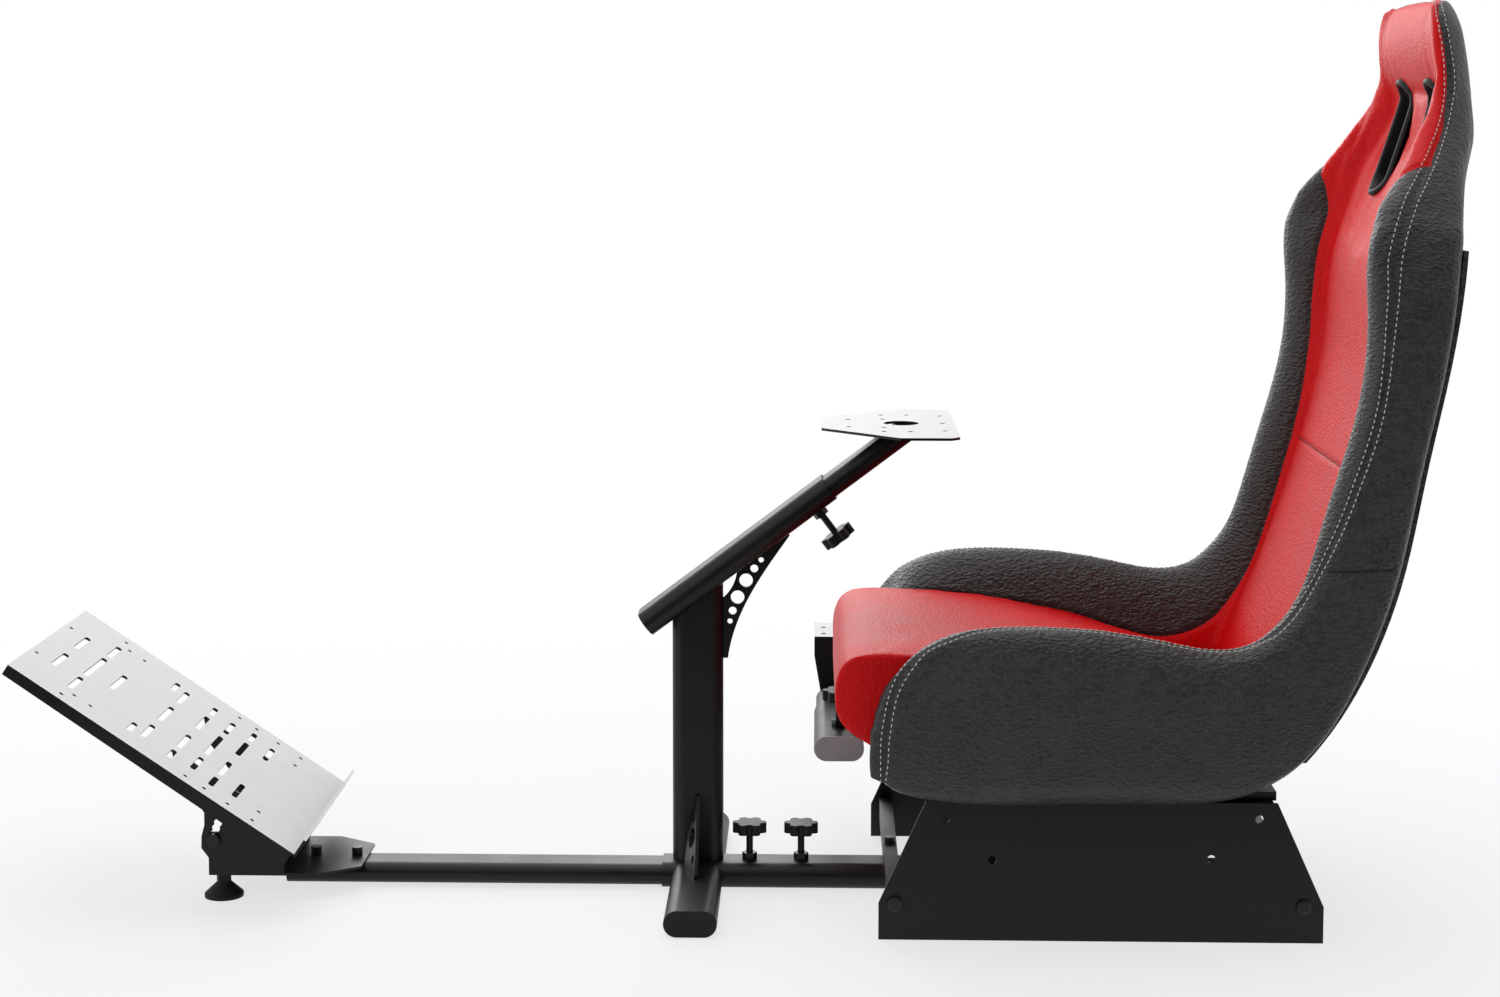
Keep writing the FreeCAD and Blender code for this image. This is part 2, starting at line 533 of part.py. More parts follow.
# Pedal deck about the pivot: a slotted plate with side flanges and a lip, and two notched ribs.
pedal_plate = new_body("pedal_plate")
sheet_plan = new_sketch(pedal_plate, "XY_Plane", "<deck_rise>")
BACK = "<deck_reach>-<deck_length>"
add_polygon(sheet_plan, [(BACK, "-<deck_width>/2"), ("<deck_reach>", "-<deck_width>/2"),
                         ("<deck_reach>", "<deck_width>/2"), (BACK, "<deck_width>/2")])
add_pad(pedal_plate, sheet_plan, "<plate_thickness>", reverse=True)
flanks = new_sketch(pedal_plate, "XZ_Plane")
add_polygon(flanks, [(BACK, "<deck_rise>-<deck_flange>"), ("<deck_reach>-6", "<deck_rise>-<deck_flange>-4"),
                     ("<deck_reach>-6", "<deck_rise>"), (BACK, "<deck_rise>")])
add_pad(pedal_plate, flanks, "<deck_width>", symmetric=True)
tray = new_sketch(pedal_plate, "XZ_Plane")
add_polygon(tray, [(BACK + "-20", "<deck_rise>-60"), ("<deck_reach>+20", "<deck_rise>-60"),
                   ("<deck_reach>+20", "<deck_rise>-<plate_thickness>"),
                   (BACK + "-20", "<deck_rise>-<plate_thickness>")])
add_pocket(pedal_plate, tray, "<deck_width>-2*<plate_thickness>")
lip = new_sketch(pedal_plate, "XZ_Plane")
add_polygon(lip, [("<deck_reach>-<plate_thickness>", "<deck_rise>-<plate_thickness>"),
                  ("<deck_reach>", "<deck_rise>-<plate_thickness>"),
                  ("<deck_reach>", "<deck_rise>+<deck_lip>"),
                  ("<deck_reach>-<plate_thickness>", "<deck_rise>+<deck_lip>")])
add_pad(pedal_plate, lip, "<deck_width>", symmetric=True)
turn(pedal_plate, V(0, 1, 0), "<deck_slope>")
locate(pedal_plate, "-<pivot_front>", "0", "<pivot_height>")

# Rows of slots across the deck: distance up from the lip, centre off the midline, length.
DECK_SLOTS = [(358, 45, 56), (324, 0, 87), (324, 82, 50), (291, 0, 64), (240, 100, 33), (223.5, 0, 61),
              (223.5, 82, 50), (184.5, 45, 55), (184.5, 102, 30), (155.5, 0, 80), (155.5, 82, 48),
              (127, 45, 54),
              (127, 102, 33), (98, 82, 50)]
DECK_HOLES = [(382, 69), (324, 137), (313, 118), (291, 118), (155.5, 137), (130, 137), (98, 137), (64.5, 137),
              (64.5, 103)]
SLOT_RADIUS = 3.6
tools = []
deck_frame = pedal_plate.Placement
for up, offset, length in DECK_SLOTS:
    for sign in ((1, -1) if offset else (1,)):
        half = length / 2 - SLOT_RADIUS
        spot = V(number("<deck_reach>") - up, sign * offset, number("<deck_rise>") - 8)
        slot = Part.makeBox(2 * SLOT_RADIUS, 2 * half, 16, spot - V(SLOT_RADIUS, half, 0))
        for end in (-half, half):
            slot = slot.fuse(Part.makeCylinder(SLOT_RADIUS, 16, spot + V(0, end, 0)))
        tools.append(slot)
for up, offset in DECK_HOLES:
    for sign in (1, -1):
        spot = V(number("<deck_reach>") - up, sign * offset, number("<deck_rise>") - 8)
        tools.append(Part.makeCylinder(2.6, 16, spot))
slot_tools = doc.addObject("Part::Feature", "deck_slot_tools")
slot_tools.Shape = Part.makeCompound(tools)
turn(slot_tools, V(0, 1, 0), "<deck_slope>")
locate(slot_tools, "-<pivot_front>", "0", "<pivot_height>")
export_node(cut("slotted_plate", pedal_plate, slot_tools), "pedal_plate")

RIB_TOP = "<deck_rise>-<plate_thickness>"
RIB_OUTLINE = [("-165", RIB_TOP), ("-142", "6"), ("-109", "-5.9"), ("-92", "-13"), ("-84", "-25"),
               ("-79.5", "-38"),
               ("-72", "-50"), ("-58.3", "-54.9"), ("-41", "-42"), ("-20", "-18"), ("0", "-11"), ("11", "-4"),
               ("15", "8"), ("15", RIB_TOP)]
for side, label in ((-1, "left_pedal_rib"), (1, "right_pedal_rib")):
    rib = new_body(label + "_blank")
    profile = new_sketch(rib, "XZ_Plane")
    add_polygon(profile, RIB_OUTLINE)
    add_circle(profile, "0", "0", "<tilt_bolt>/2+<fit_gap>")
    add_pad(rib, profile, "<plate_thickness>", reverse=side > 0)
    turn(rib, V(0, 1, 0), "<deck_slope>")
    locate(rib, "-<pivot_front>", "%d*(<pedal_base_half>+<fit_gap>)" % side, "<pivot_height>")
    notches = []
    for notch in range(5):
        bearing = "(6.8-%d*<notch_pitch>)" % -notch
        hole = primitive("Cylinder", "%s_notch%d" % (label, notch), Radius="<notch_hole>", Height="20")
        turn(hole, V(1, 0, 0), "90")
        locate(hole, "-<pivot_front>-<notch_radius>*cos%s" % bearing,
               "%d*(<pedal_base_half>)+10" % side, "<pivot_height>+<notch_radius>*sin%s" % bearing)
        notches.append(hole)
    export_node(cut(label, rib, fuse(label + "_notches", notches)), label)

# Shifter arm: a tube across the front of the seat, an inner tube and a bent plate at its end.
sleeve = oval("shifter_sleeve", "XZ_Plane", "<shifter_far>-<shifter_near>-<cap_depth>", reverse=True)
locate(sleeve, SHIFTER_X, "<shifter_near>+<cap_depth>", "<shifter_height>")
sleeve_hole = new_sketch(sleeve, "XY_Plane")
add_circle(sleeve_hole, "0", "55-<cap_depth>", "<stud_diameter>/2+<fit_gap>")
add_pocket(sleeve, sleeve_hole, "<tube_height>", symmetric=False, reverse=True)
export_node(sleeve, "shifter_sleeve")
sleeve_cap = oval("shifter_cap", "XZ_Plane", "<cap_depth>", reverse=True, solid=True)
locate(sleeve_cap, SHIFTER_X, "<shifter_near>", "<shifter_height>")
export_node(sleeve_cap, "shifter_cap")
arm = oval("shifter_tube", "XZ_Plane", "<shifter_plate_near>-<shifter_near>-8", reverse=True, inner=True)
locate(arm, SHIFTER_X, "<shifter_near>+8", "<shifter_height>")
export_node(arm, "shifter_tube")
support = primitive("Box", "shifter_support", Length="<shifter_lead>+<bracket_slope>+80-<tube_width>/2",
                    Width="<bracket_flange>-<bracket_gauge>-2", Height="5",
                    x=SHIFTER_X + "+<tube_width>/2", y="<bracket_half_span>-<bracket_flange>",
                    z="<bracket_height>-<bracket_gauge>-5")
export_node(support, "shifter_support")
shifter_plate = new_body("shifter_plate")
upright = new_sketch(shifter_plate, "XZ_Plane")
PLATE_LOW = "-<shifter_plate_height>+<shifter_height>"
add_polygon(upright, [("-18", PLATE_LOW + "-14"), ("18", PLATE_LOW + "-14"), ("30", "-25"), ("30", "0"),
                      ("-30", "0"), ("-30", "-25")])
add_pad(shifter_plate, upright, "<plate_thickness>", reverse=True)
top = new_sketch(shifter_plate, "XY_Plane")
add_polygon(top, [("-30", "0"), ("30", "0"), ("30", "<shifter_plate_depth>"),
                  ("-30", "<shifter_plate_depth>")])
for x, y in ((-18, 20), (18, 20), (-18, 60), (18, 60)):
    add_circle(top, str(x), str(y), "3.2")
add_pad(shifter_plate, top, "<plate_thickness>", reverse=True)
locate(shifter_plate, SHIFTER_X, "<shifter_plate_near>", "<shifter_plate_height>")
export_node(shifter_plate, "shifter_plate")

# Seat, placed from the front of the brackets and the top of the pan. Its outlines are side views, drawn
# for a seat of the depth and rise below and stretched to the ones in the sheet.
DRAWN_FRONT, DRAWN_FLOOR, DRAWN_DEPTH, DRAWN_RISE = 209, 167, 717, 873
SEAT_X = number("<bracket_front>")
SEAT_Z = number("<bracket_height>+<pan_thickness>")
HALF = number("<seat_half_width>")
CREST = number("<crest_half_width>")
INSERT = number("<insert_half_width>")

BOTTOM_REAR = [(827, 796), (824, 767), (808, 638), (786, 530), (765, 422), (722, 302), (663, 213), (600, 176),
               (520, 168), (400, 168), (280, 168), (222, 180)]
CREST_LINE = [(204, 205), (204, 240), (211, 272), (225, 306), (249, 335), (286, 354), (338, 362), (400, 362),
              (466, 356), (520, 346), (570, 338), (604, 343), (632, 362), (655, 392), (675, 445), (696, 520),
              (717, 600), (725, 660), (725, 710), (722, 755), (732, 796)]
SEAM_LINE = [(206, 190), (194, 218), (199, 256), (215, 291), (256, 312), (340, 308), (475, 284), (585, 258),
             (645, 290), (708, 430), (757, 645), (760, 750), (773, 796)]


def seat_x(x):
    return SEAT_X + (x - DRAWN_FRONT) * number("<seat_depth>") / DRAWN_DEPTH


def seat_z(z):
    return SEAT_Z + (z - DRAWN_FLOOR) * number("<seat_rise>") / DRAWN_RISE


def seat_curve(points, y, inset=0.0, toward=(560, 520)):
    """Side-view outline as vectors, drawn in towards the middle of the seat by an inset."""
    result = []
    for x, z in points:
        dx, dz = toward[0] - x, toward[1] - z
        far = math.hypot(dx, dz)
        result.append(V(seat_x(x + dx / far * inset), y, seat_z(z + dz / far * inset)))
    return result


def outline_wire(front, rear):
    """Closed wire of two curves joined by two straight ends."""
    ends = [Part.makeLine(front[-1], rear[0]), Part.makeLine(rear[-1], front[0])]
    return Part.Wire([spline(front), ends[0], spline(rear), ends[1]])


def add_soft(label, shape):
    item = doc.addObject("Part::Feature", label)
    item.Shape = shape
    export_node(item, label)


def biggest(shape):
    """The largest solid of a cut shape, without the slivers the cut leaves."""
    return max(shape.Solids, key=lambda solid: solid.Volume)


# Front view of the shoulders, as parts of the seat's half width: the wings narrow towards the head.
SHOULDER_LINE = [(1.0, 690), (0.996, 730), (0.982, 765), (0.955, 798)]
shoulder_edge = [V(0, HALF * part + 0.5, seat_z(z)) for part, z in SHOULDER_LINE]
mirrored = [V(0, -p.y, p.z) for p in reversed(shoulder_edge)]
low_right = V(0, HALF + 0.5, seat_z(100))
low_left = V(0, -HALF - 0.5, seat_z(100))
corners = [(shoulder_edge[-1], mirrored[0]), (mirrored[-1], low_left), (low_left, low_right),
           (low_right, shoulder_edge[0])]
front_view = [spline(shoulder_edge), spline(mirrored)] + [Part.makeLine(a, b) for a, b in corners]
shoulder_face = Part.Face(Part.Wire(Part.__sortEdges__(front_view)))
shoulders = shoulder_face.extrude(V(2 * seat_x(DRAWN_DEPTH + 209), 0, 0))

for side, label in ((-1, "left_bolster"), (1, "right_bolster")):
    sections = []
    for y, front, rise, tuck in ((INSERT, SEAM_LINE, 0, 0), (CREST, CREST_LINE, 0, 0),
                                 (HALF, CREST_LINE, -16, 8)):
        lowered = seat_curve(front, side * y, rise)
        rear = seat_curve(BOTTOM_REAR, side * y, tuck)
        sections.append(outline_wire(lowered, rear))
    add_soft(label, Part.makeLoft(sections, True, False).common(shoulders))


def padded_strip(front, rear, half):
    face = Part.Face(outline_wire(seat_curve(front, -half), seat_curve(rear, -half)))
    return face.extrude(V(0, 2 * half, 0))


EDGE = INSERT - number("<fit_gap>")
CUSHION_TOP = [(250, 172), (222, 197), (193, 217), (171, 232), (161, 247), (157, 269), (160, 296), (170, 313),
               (188, 321), (240, 322), (310, 318), (377, 309), (508, 276), (634, 246)]
CUSHION_LOW = [(634, 200), (606, 178), (580, 168), (520, 163), (400, 162), (280, 163), (250, 165)]
cushion_shape = padded_strip(CUSHION_TOP, CUSHION_LOW, EDGE)
pan_clear = number("<bracket_height>+<pan_thickness>+<fit_gap>")
below_pan = Part.makeBox(2 * seat_x(926), 2 * HALF, pan_clear, V(0, -HALF, 0))
add_soft("seat_cushion", cushion_shape.cut(below_pan))

BACK_FRONT = [(638, 206), (641, 246), (676, 327), (714, 425), (745, 530), (768, 645), (774, 745), (792, 812),
              (806, 850)]
BACK_REAR = [(832, 850), (824, 767), (808, 638), (786, 530), (765, 422), (722, 302), (663, 213)]
strip = padded_strip(BACK_FRONT, BACK_REAR, EDGE)
# Head sections: height, half width, X of the front ridge, of the middle and of the rear, and where the
# rear corner lies, as a part of the half width and in front of the rear. The lowest take in the wing tops.
HEAD = [(768, 264, 722, 779, 824, 0.96, 9), (815, 247, 737, 793, 833, 0.94, 9),
        (845, 226, 760, 804, 842, 0.91, 9), (880, 195, 781, 817, 855, 0.88, 9),
        (905, 174, 795, 827, 862, 0.86, 12), (935, 158, 807, 835, 866, 0.84, 15),
        (960, 151, 809, 837, 866, 0.84, 17), (1003, 145, 806, 834, 859, 0.84, 16),
        (1025, 134, 807, 831, 852, 0.84, 14), (1040, 110, 813, 830, 844, 0.84, 9)]


def head_row(height):
    """Head section at any height, on smooth curves through the rows above."""
    last = len(HEAD) - 1
    low = max(i for i in range(last) if HEAD[i][0] <= height)
    ends = []
    for i in (low, low + 1):
        before, after = HEAD[max(i - 1, 0)], HEAD[min(i + 1, last)]
        ends.append([(b - a) / (after[0] - before[0]) for a, b in zip(before, after)])
    span = HEAD[low + 1][0] - HEAD[low][0]
    t = (height - HEAD[low][0]) / span
    rise = t * t * (3 - 2 * t)
    leave = t * (1 - t) ** 2 * span
    arrive = -t * t * (1 - t) * span
    row = []
    for a, b, slope_a, slope_b in zip(HEAD[low], HEAD[low + 1], *ends):
        row.append(a + (b - a) * rise + slope_a * leave + slope_b * arrive)
    return row


def head_wire(height, half, ridge, middle, rear, corner, drop):
    """Closed section of the head: a flat dish between two rolled rims, and a flatter rear."""
    wall = ((ridge + 11 + rear - drop) / 2, half * (1 + corner) / 2 + 2)
    spots = [(middle, 0), (middle - 1, half * 0.45), (middle - 3, half * 0.74), (ridge, half * 0.94),
             (ridge + 11, half), wall, (rear - drop, half * corner), (rear, half * 0.45)]
    ring = spots + [(x, -y) for x, y in reversed(spots[1:])]
    curve = Part.BSplineCurve()
    curve.interpolate([V(seat_x(x), y * HALF / 268, seat_z(height)) for x, y in ring], PeriodicFlag=True)
    return Part.Wire([curve.toShape()])


# Even steps in height keep the loft from swelling between its sections.
HEAD_STEPS = 17
heights = [HEAD[0][0] + (HEAD[-1][0] - HEAD[0][0]) * i / HEAD_STEPS for i in range(HEAD_STEPS + 1)]
head = Part.makeLoft([head_wire(*head_row(height)) for height in heights], True, False)
pad_shape = strip.fuse(head)
slot_radius = number("<slot_width>/2")
for side in (-1, 1):
    start = V(seat_x(720), 0, SEAT_Z + number("<slot_height>-<slot_length>/2+<slot_width>/2"))
    flat = number("<slot_length>-<slot_width>")
    slot = Part.makeBox(seat_x(920) - start.x, 2 * slot_radius, flat, start - V(0, slot_radius, 0))
    for end in (0, flat):
        slot = slot.fuse(Part.makeCylinder(slot_radius, seat_x(920) - start.x, start + V(0, 0, end),
                                           V(1, 0, 0)))
    slot.rotate(start + V(0, 0, flat / 2), V(1, 0, 0), side * number("<slot_lean>"))
    slot.translate(V(0, side * number("<slot_offset>"), 0))
    pad_shape = pad_shape.cut(slot)
for label in ("left_bolster", "right_bolster"):
    pad_shape = pad_shape.cut(doc.getObject(label).Shape)
add_soft("backrest_pad", biggest(pad_shape))

# The rear panel is cut to the backs of the soft pieces that it covers.
SHELL_FRONT = [(x - 4, z) for x, z in BACK_REAR[1:]]
SHELL_REAR = [(x + 6, z) for x, z in reversed(BACK_REAR[1:])]
shell_shape = padded_strip(SHELL_FRONT, SHELL_REAR, CREST - 6)
for label in ("left_bolster", "right_bolster", "backrest_pad"):
    shell_shape = shell_shape.cut(doc.getObject(label).Shape)
add_soft("back_shell", biggest(shell_shape))

doc.recompute()
os.makedirs("parts", exist_ok=True)
faults = []
for item in doc.Objects:
    if "Invalid" in item.State or "Error" in item.State:
        faults.append(item.Name + " " + str(item.State))
for item, label in NODES:
    if item.Shape.isNull() or not item.Shape.isValid():
        faults.append(label + " shape")
if faults:
    raise RuntimeError("; ".join(faults))
for item, label in NODES:
    item.Shape.exportStep("parts/%s.step" % label)
    box = item.Shape.BoundBox
    print("%-22s %2d solids  x %.0f..%.0f  y %.0f..%.0f  z %.0f..%.0f" % (
        label, len(item.Shape.Solids), box.XMin, box.XMax, box.YMin, box.YMax, box.ZMin, box.ZMax))
print(len(NODES), "nodes")
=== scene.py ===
# %% [markdown]
# # Sim racing cockpit
# The imported solids are loaded as a fixed frame: steel tubes, plates, knobs and plain seat solids, in metres.
# Every later piece sits in that frame.

# %% Load the frame
import math
import bpy
import bmesh
from mathutils import Matrix, Vector
from mathutils.bvhtree import BVHTree
from mathutils.kdtree import KDTree


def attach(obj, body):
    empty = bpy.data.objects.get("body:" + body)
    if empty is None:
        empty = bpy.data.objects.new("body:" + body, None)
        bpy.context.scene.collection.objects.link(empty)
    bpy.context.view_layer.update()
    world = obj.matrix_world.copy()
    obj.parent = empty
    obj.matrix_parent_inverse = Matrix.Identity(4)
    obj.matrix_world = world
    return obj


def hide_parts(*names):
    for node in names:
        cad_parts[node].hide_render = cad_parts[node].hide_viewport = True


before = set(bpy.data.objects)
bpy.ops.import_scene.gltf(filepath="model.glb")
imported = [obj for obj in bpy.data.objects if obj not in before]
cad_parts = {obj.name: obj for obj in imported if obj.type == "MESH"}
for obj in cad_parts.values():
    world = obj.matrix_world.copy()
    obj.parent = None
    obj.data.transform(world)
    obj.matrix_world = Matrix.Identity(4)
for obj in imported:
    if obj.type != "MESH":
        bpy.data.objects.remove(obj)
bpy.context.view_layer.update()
scene = bpy.context.scene

# %% [markdown]
# ## Camera, light and floor
# The photograph was taken level with the head of the seat, from the driver's left. A view camera would keep
# the uprights upright with a lens shift, so most of the drop is shift here and the rest is a small pitch.
# The studio is white: the world shows white to the camera and to reflections, and lights the object plainly.

# %% Camera
CAMERA_SPOT = Vector((0.140, -2.960, 0.923))
PITCH = math.radians(5.0)
YAW = math.radians(1.6)
camera_data = bpy.data.cameras.new("photo_camera")
camera_data.sensor_width = 36.0
camera_data.lens = 61.18
camera_data.shift_x = 0.0023
camera_data.shift_y = -0.1147
camera_data.clip_end = 50.0
camera = bpy.data.objects.new("photo_camera", camera_data)
camera.location = CAMERA_SPOT
camera.rotation_euler = (math.pi / 2 - PITCH, 0.0, YAW)
scene.collection.objects.link(camera)
scene.camera = camera
scene.view_settings.view_transform = "Standard"
print("camera at", [round(v, 3) for v in camera.location])


# %% World and floor
def new_material(name):
    """A node material with its shader and output, ready for more nodes."""
    material = bpy.data.materials.new(name)
    material.use_nodes = True
    nodes = material.node_tree.nodes
    return material, nodes, material.node_tree.links, nodes["Principled BSDF"]


def seen_by_viewer(tree):
    """A value of 1 for rays of the camera, of reflections and of clear materials, and 0 for all others."""
    path = tree.nodes.new("ShaderNodeLightPath")
    value = path.outputs["Is Camera Ray"]
    for kind in ("Is Glossy Ray", "Is Transmission Ray"):
        either = tree.nodes.new("ShaderNodeMath")
        either.operation = "MAXIMUM"
        tree.links.new(value, either.inputs[0])
        tree.links.new(path.outputs[kind], either.inputs[1])
        value = either.outputs[0]
    return value


def show_white(tree, share, plain, white, output):
    """Mixes a white shader over the plain one by a share from 0 to 1."""
    mix = tree.nodes.new("ShaderNodeMixShader")
    tree.links.new(share, mix.inputs["Fac"])
    tree.links.new(plain.outputs[0], mix.inputs[1])
    tree.links.new(white.outputs[0], mix.inputs[2])
    tree.links.new(mix.outputs[0], output.inputs["Surface"])


world = bpy.data.worlds.new("white_studio")
world.use_nodes = True
scene.world = world
plain_sky = world.node_tree.nodes["Background"]
plain_sky.inputs["Color"].default_value = (1.0, 1.0, 1.0, 1.0)
plain_sky.inputs["Strength"].default_value = 0.36
white_sky = world.node_tree.nodes.new("ShaderNodeBackground")
white_sky.inputs["Color"].default_value = (1.0, 1.0, 1.0, 1.0)
white_sky.inputs["Strength"].default_value = 1.0
show_white(world.node_tree, seen_by_viewer(world.node_tree), plain_sky, white_sky,
           world.node_tree.nodes["World Output"])


def staged_sheet(name, corners, faces):
    """A flat piece of the studio, which isn't part of the object."""
    mesh = bpy.data.meshes.new(name)
    mesh.from_pydata(corners, [], faces)
    sheet = bpy.data.objects.new(name, mesh)
    scene.collection.objects.link(sheet)
    return sheet


FLOOR_REACH = 9.0
FLOOR_DROP = 0.0008
floor = staged_sheet("studio_floor", [(a * FLOOR_REACH, b * FLOOR_REACH, 0)
                                      for a, b in ((-1, -1), (1, -1), (1, 1), (-1, 1))], [(0, 1, 2, 3)])
floor.location.z = -FLOOR_DROP
floor_paint, floor_nodes, floor_links, floor_shader = new_material("pale_floor")
floor_shader.inputs["Base Color"].default_value = (0.93, 0.93, 0.93, 1.0)
floor_shader.inputs["Roughness"].default_value = 0.9
floor.data.materials.append(floor_paint)
# White takes over with the distance from the object, so the shadow stays near its feet and fades out.
floor_spot = floor_nodes.new("ShaderNodeTexCoord")
floor_far = floor_nodes.new("ShaderNodeVectorMath")
floor_far.operation = "LENGTH"
floor_links.new(floor_spot.outputs["Object"], floor_far.inputs[0])
floor_fade = floor_nodes.new("ShaderNodeMapRange")
floor_fade.interpolation_type = "SMOOTHSTEP"
for socket, number in (("From Min", 0.5), ("From Max", 1.8), ("To Min", 0.7), ("To Max", 1.0)):
    floor_fade.inputs[socket].default_value = number
floor_links.new(floor_far.outputs["Value"], floor_fade.inputs["Value"])
floor_share = floor_nodes.new("ShaderNodeMath")
floor_share.operation = "MULTIPLY"
floor_links.new(floor_fade.outputs["Result"], floor_share.inputs[0])
floor_links.new(seen_by_viewer(floor_paint.node_tree), floor_share.inputs[1])
floor_white = floor_nodes.new("ShaderNodeEmission")
show_white(floor_paint.node_tree, floor_share.outputs[0], floor_shader, floor_white,
           floor_nodes["Material Output"])


def soft_light(name, spot, target, size, watts, height=None):
    """A softbox aimed at a point, square unless a height is given."""
    lamp = bpy.data.lights.new(name, "AREA")
    lamp.shape = "RECTANGLE"
    lamp.size = size
    lamp.size_y = height or size
    lamp.energy = watts
    holder = bpy.data.objects.new(name, lamp)
    holder.location = spot
    aim = Vector(target) - Vector(spot)
    holder.rotation_euler = aim.to_track_quat("-Z", "Y").to_euler()
    scene.collection.objects.link(holder)


# A dark flag behind the camera, with a foot on the floor. Only reflections see it, so faces turned to the
# viewer stay deep black while rounded edges still catch the white studio.
FLAG_LEFT, FLAG_RIGHT = -3.4, 3.8
FLAG_NEAR, FLAG_BACK = -0.9, -3.3
FLAG_FOOT, FLAG_TOP = 0.001, 2.8
flag = staged_sheet("dark_flag", [(FLAG_LEFT, FLAG_NEAR, FLAG_FOOT), (FLAG_RIGHT, FLAG_NEAR, FLAG_FOOT),
                                  (FLAG_RIGHT, FLAG_BACK, FLAG_FOOT), (FLAG_LEFT, FLAG_BACK, FLAG_FOOT),
                                  (FLAG_RIGHT, FLAG_BACK, FLAG_TOP), (FLAG_LEFT, FLAG_BACK, FLAG_TOP)],
                    [(0, 1, 2, 3), (3, 2, 4, 5)])
flag_paint, _, _, flag_shader = new_material("dark_flag_cloth")
flag_shader.inputs["Base Color"].default_value = (0.01, 0.01, 0.01, 1.0)
flag_shader.inputs["Roughness"].default_value = 1.0
flag_shader.inputs["Specular IOR Level"].default_value = 0.0
flag.data.materials.append(flag_paint)
flag.visible_camera = False
flag.visible_diffuse = False
flag.visible_transmission = False
flag.visible_shadow = False

soft_light("overhead_box", (0.1, 0.3, 3.0), (0.1, 0.0, 0.2), 2.6, 31)
soft_light("back_box", (-0.6, 3.0, 1.9), (0.2, 0.0, 0.4), 2.2, 46)
soft_light("front_box", (-1.6, -2.6, 1.8), (0.1, 0.0, 0.4), 1.8, 10)
soft_light("edge_strip", (-2.8, -1.5, 0.9), (0.1, 0.0, 0.4), 0.35, 7, 1.7)
print("studio ready")

# %% [markdown]
# ## Finishes
# The steel is black powder coat: nearly black, satin, with a fine orange-peel skin. The seat is coated
# leather with a pebbled grain, so cells make the bump and a slow cloud varies the colour and the gloss.
# Object coordinates are used, because every solid keeps its place in the shared frame and the grain then
# has one scale all over. Numbers that don't vary go straight on the shader.


# %% Finish helpers
def coordinates(nodes):
    return nodes.new("ShaderNodeTexCoord").outputs["Object"]


def cloud(nodes, links, scale, detail=3.0, roughness=0.55):
    """A noise texture in object space."""
    texture = nodes.new("ShaderNodeTexNoise")
    texture.inputs["Scale"].default_value = scale
    texture.inputs["Detail"].default_value = detail
    texture.inputs["Roughness"].default_value = roughness
    links.new(coordinates(nodes), texture.inputs["Vector"])
    return texture


def ramp(nodes, links, source, low, high, start=0.3, end=0.7):
    """A two-stop colour ramp fed by a value."""
    stops = nodes.new("ShaderNodeValToRGB")
    stops.color_ramp.elements[0].position = start
    stops.color_ramp.elements[0].color = (*low, 1.0)
    stops.color_ramp.elements[1].position = end
    stops.color_ramp.elements[1].color = (*high, 1.0)
    links.new(source, stops.inputs["Fac"])
    return stops


def spread(nodes, links, source, low, high):
    """Maps a texture's middle range onto a roughness range."""
    remap = nodes.new("ShaderNodeMapRange")
    remap.inputs["From Min"].default_value = 0.25
    remap.inputs["From Max"].default_value = 0.75
    remap.inputs["To Min"].default_value = low
    remap.inputs["To Max"].default_value = high
    links.new(source, remap.inputs["Value"])
    return remap.outputs["Result"]


def raise_bump(nodes, links, shader, height, strength, distance):
    bump = nodes.new("ShaderNodeBump")
    bump.inputs["Strength"].default_value = strength
    bump.inputs["Distance"].default_value = distance
    links.new(height, bump.inputs["Height"])
    links.new(bump.outputs["Normal"], shader.inputs["Normal"])


def tint_and_dull(nodes, links, shader, drift, low, high, rough):
    """One slow cloud varies the colour between two tints and the roughness over a range."""
    tint = ramp(nodes, links, drift.outputs["Fac"], low, high)
    links.new(tint.outputs["Color"], shader.inputs["Base Color"])
    links.new(spread(nodes, links, drift.outputs["Fac"], *rough), shader.inputs["Roughness"])


def coated_metal(name, low, high, rough, specular, peel=1400.0):
    """Powder coat: a slow colour change, a gloss that wanders a little and an orange-peel skin."""
    material, nodes, links, shader = new_material(name)
    drift = cloud(nodes, links, 14.0)
    tint_and_dull(nodes, links, shader, drift, low, high, rough)
    shader.inputs["Specular IOR Level"].default_value = specular
    skin = cloud(nodes, links, peel, 2.0)
    raise_bump(nodes, links, shader, skin.outputs["Fac"], 0.12, 0.0006)
    return material


def grain(nodes, links, scale, flatten, weight):
    """Rounded cells, warped a little and flattened in height, as a weighted bump height."""
    warp = cloud(nodes, links, 60.0, 2.0)
    blend = nodes.new("ShaderNodeMix")
    blend.data_type = "VECTOR"
    blend.inputs["Factor"].default_value = 0.012
    links.new(coordinates(nodes), blend.inputs["A"])
    links.new(warp.outputs["Color"], blend.inputs["B"])
    stretch = nodes.new("ShaderNodeMapping")
    stretch.inputs["Scale"].default_value = (1.0, 1.0, flatten)
    links.new(blend.outputs["Result"], stretch.inputs["Vector"])
    cells = nodes.new("ShaderNodeTexVoronoi")
    cells.feature = "SMOOTH_F1"
    cells.inputs["Scale"].default_value = scale
    cells.inputs["Smoothness"].default_value = 0.3
    links.new(stretch.outputs["Vector"], cells.inputs["Vector"])
    weigh = nodes.new("ShaderNodeMath")
    weigh.operation = "MULTIPLY"
    weigh.inputs[1].default_value = weight
    links.new(cells.outputs["Distance"], weigh.inputs[0])
    return weigh.outputs[0]


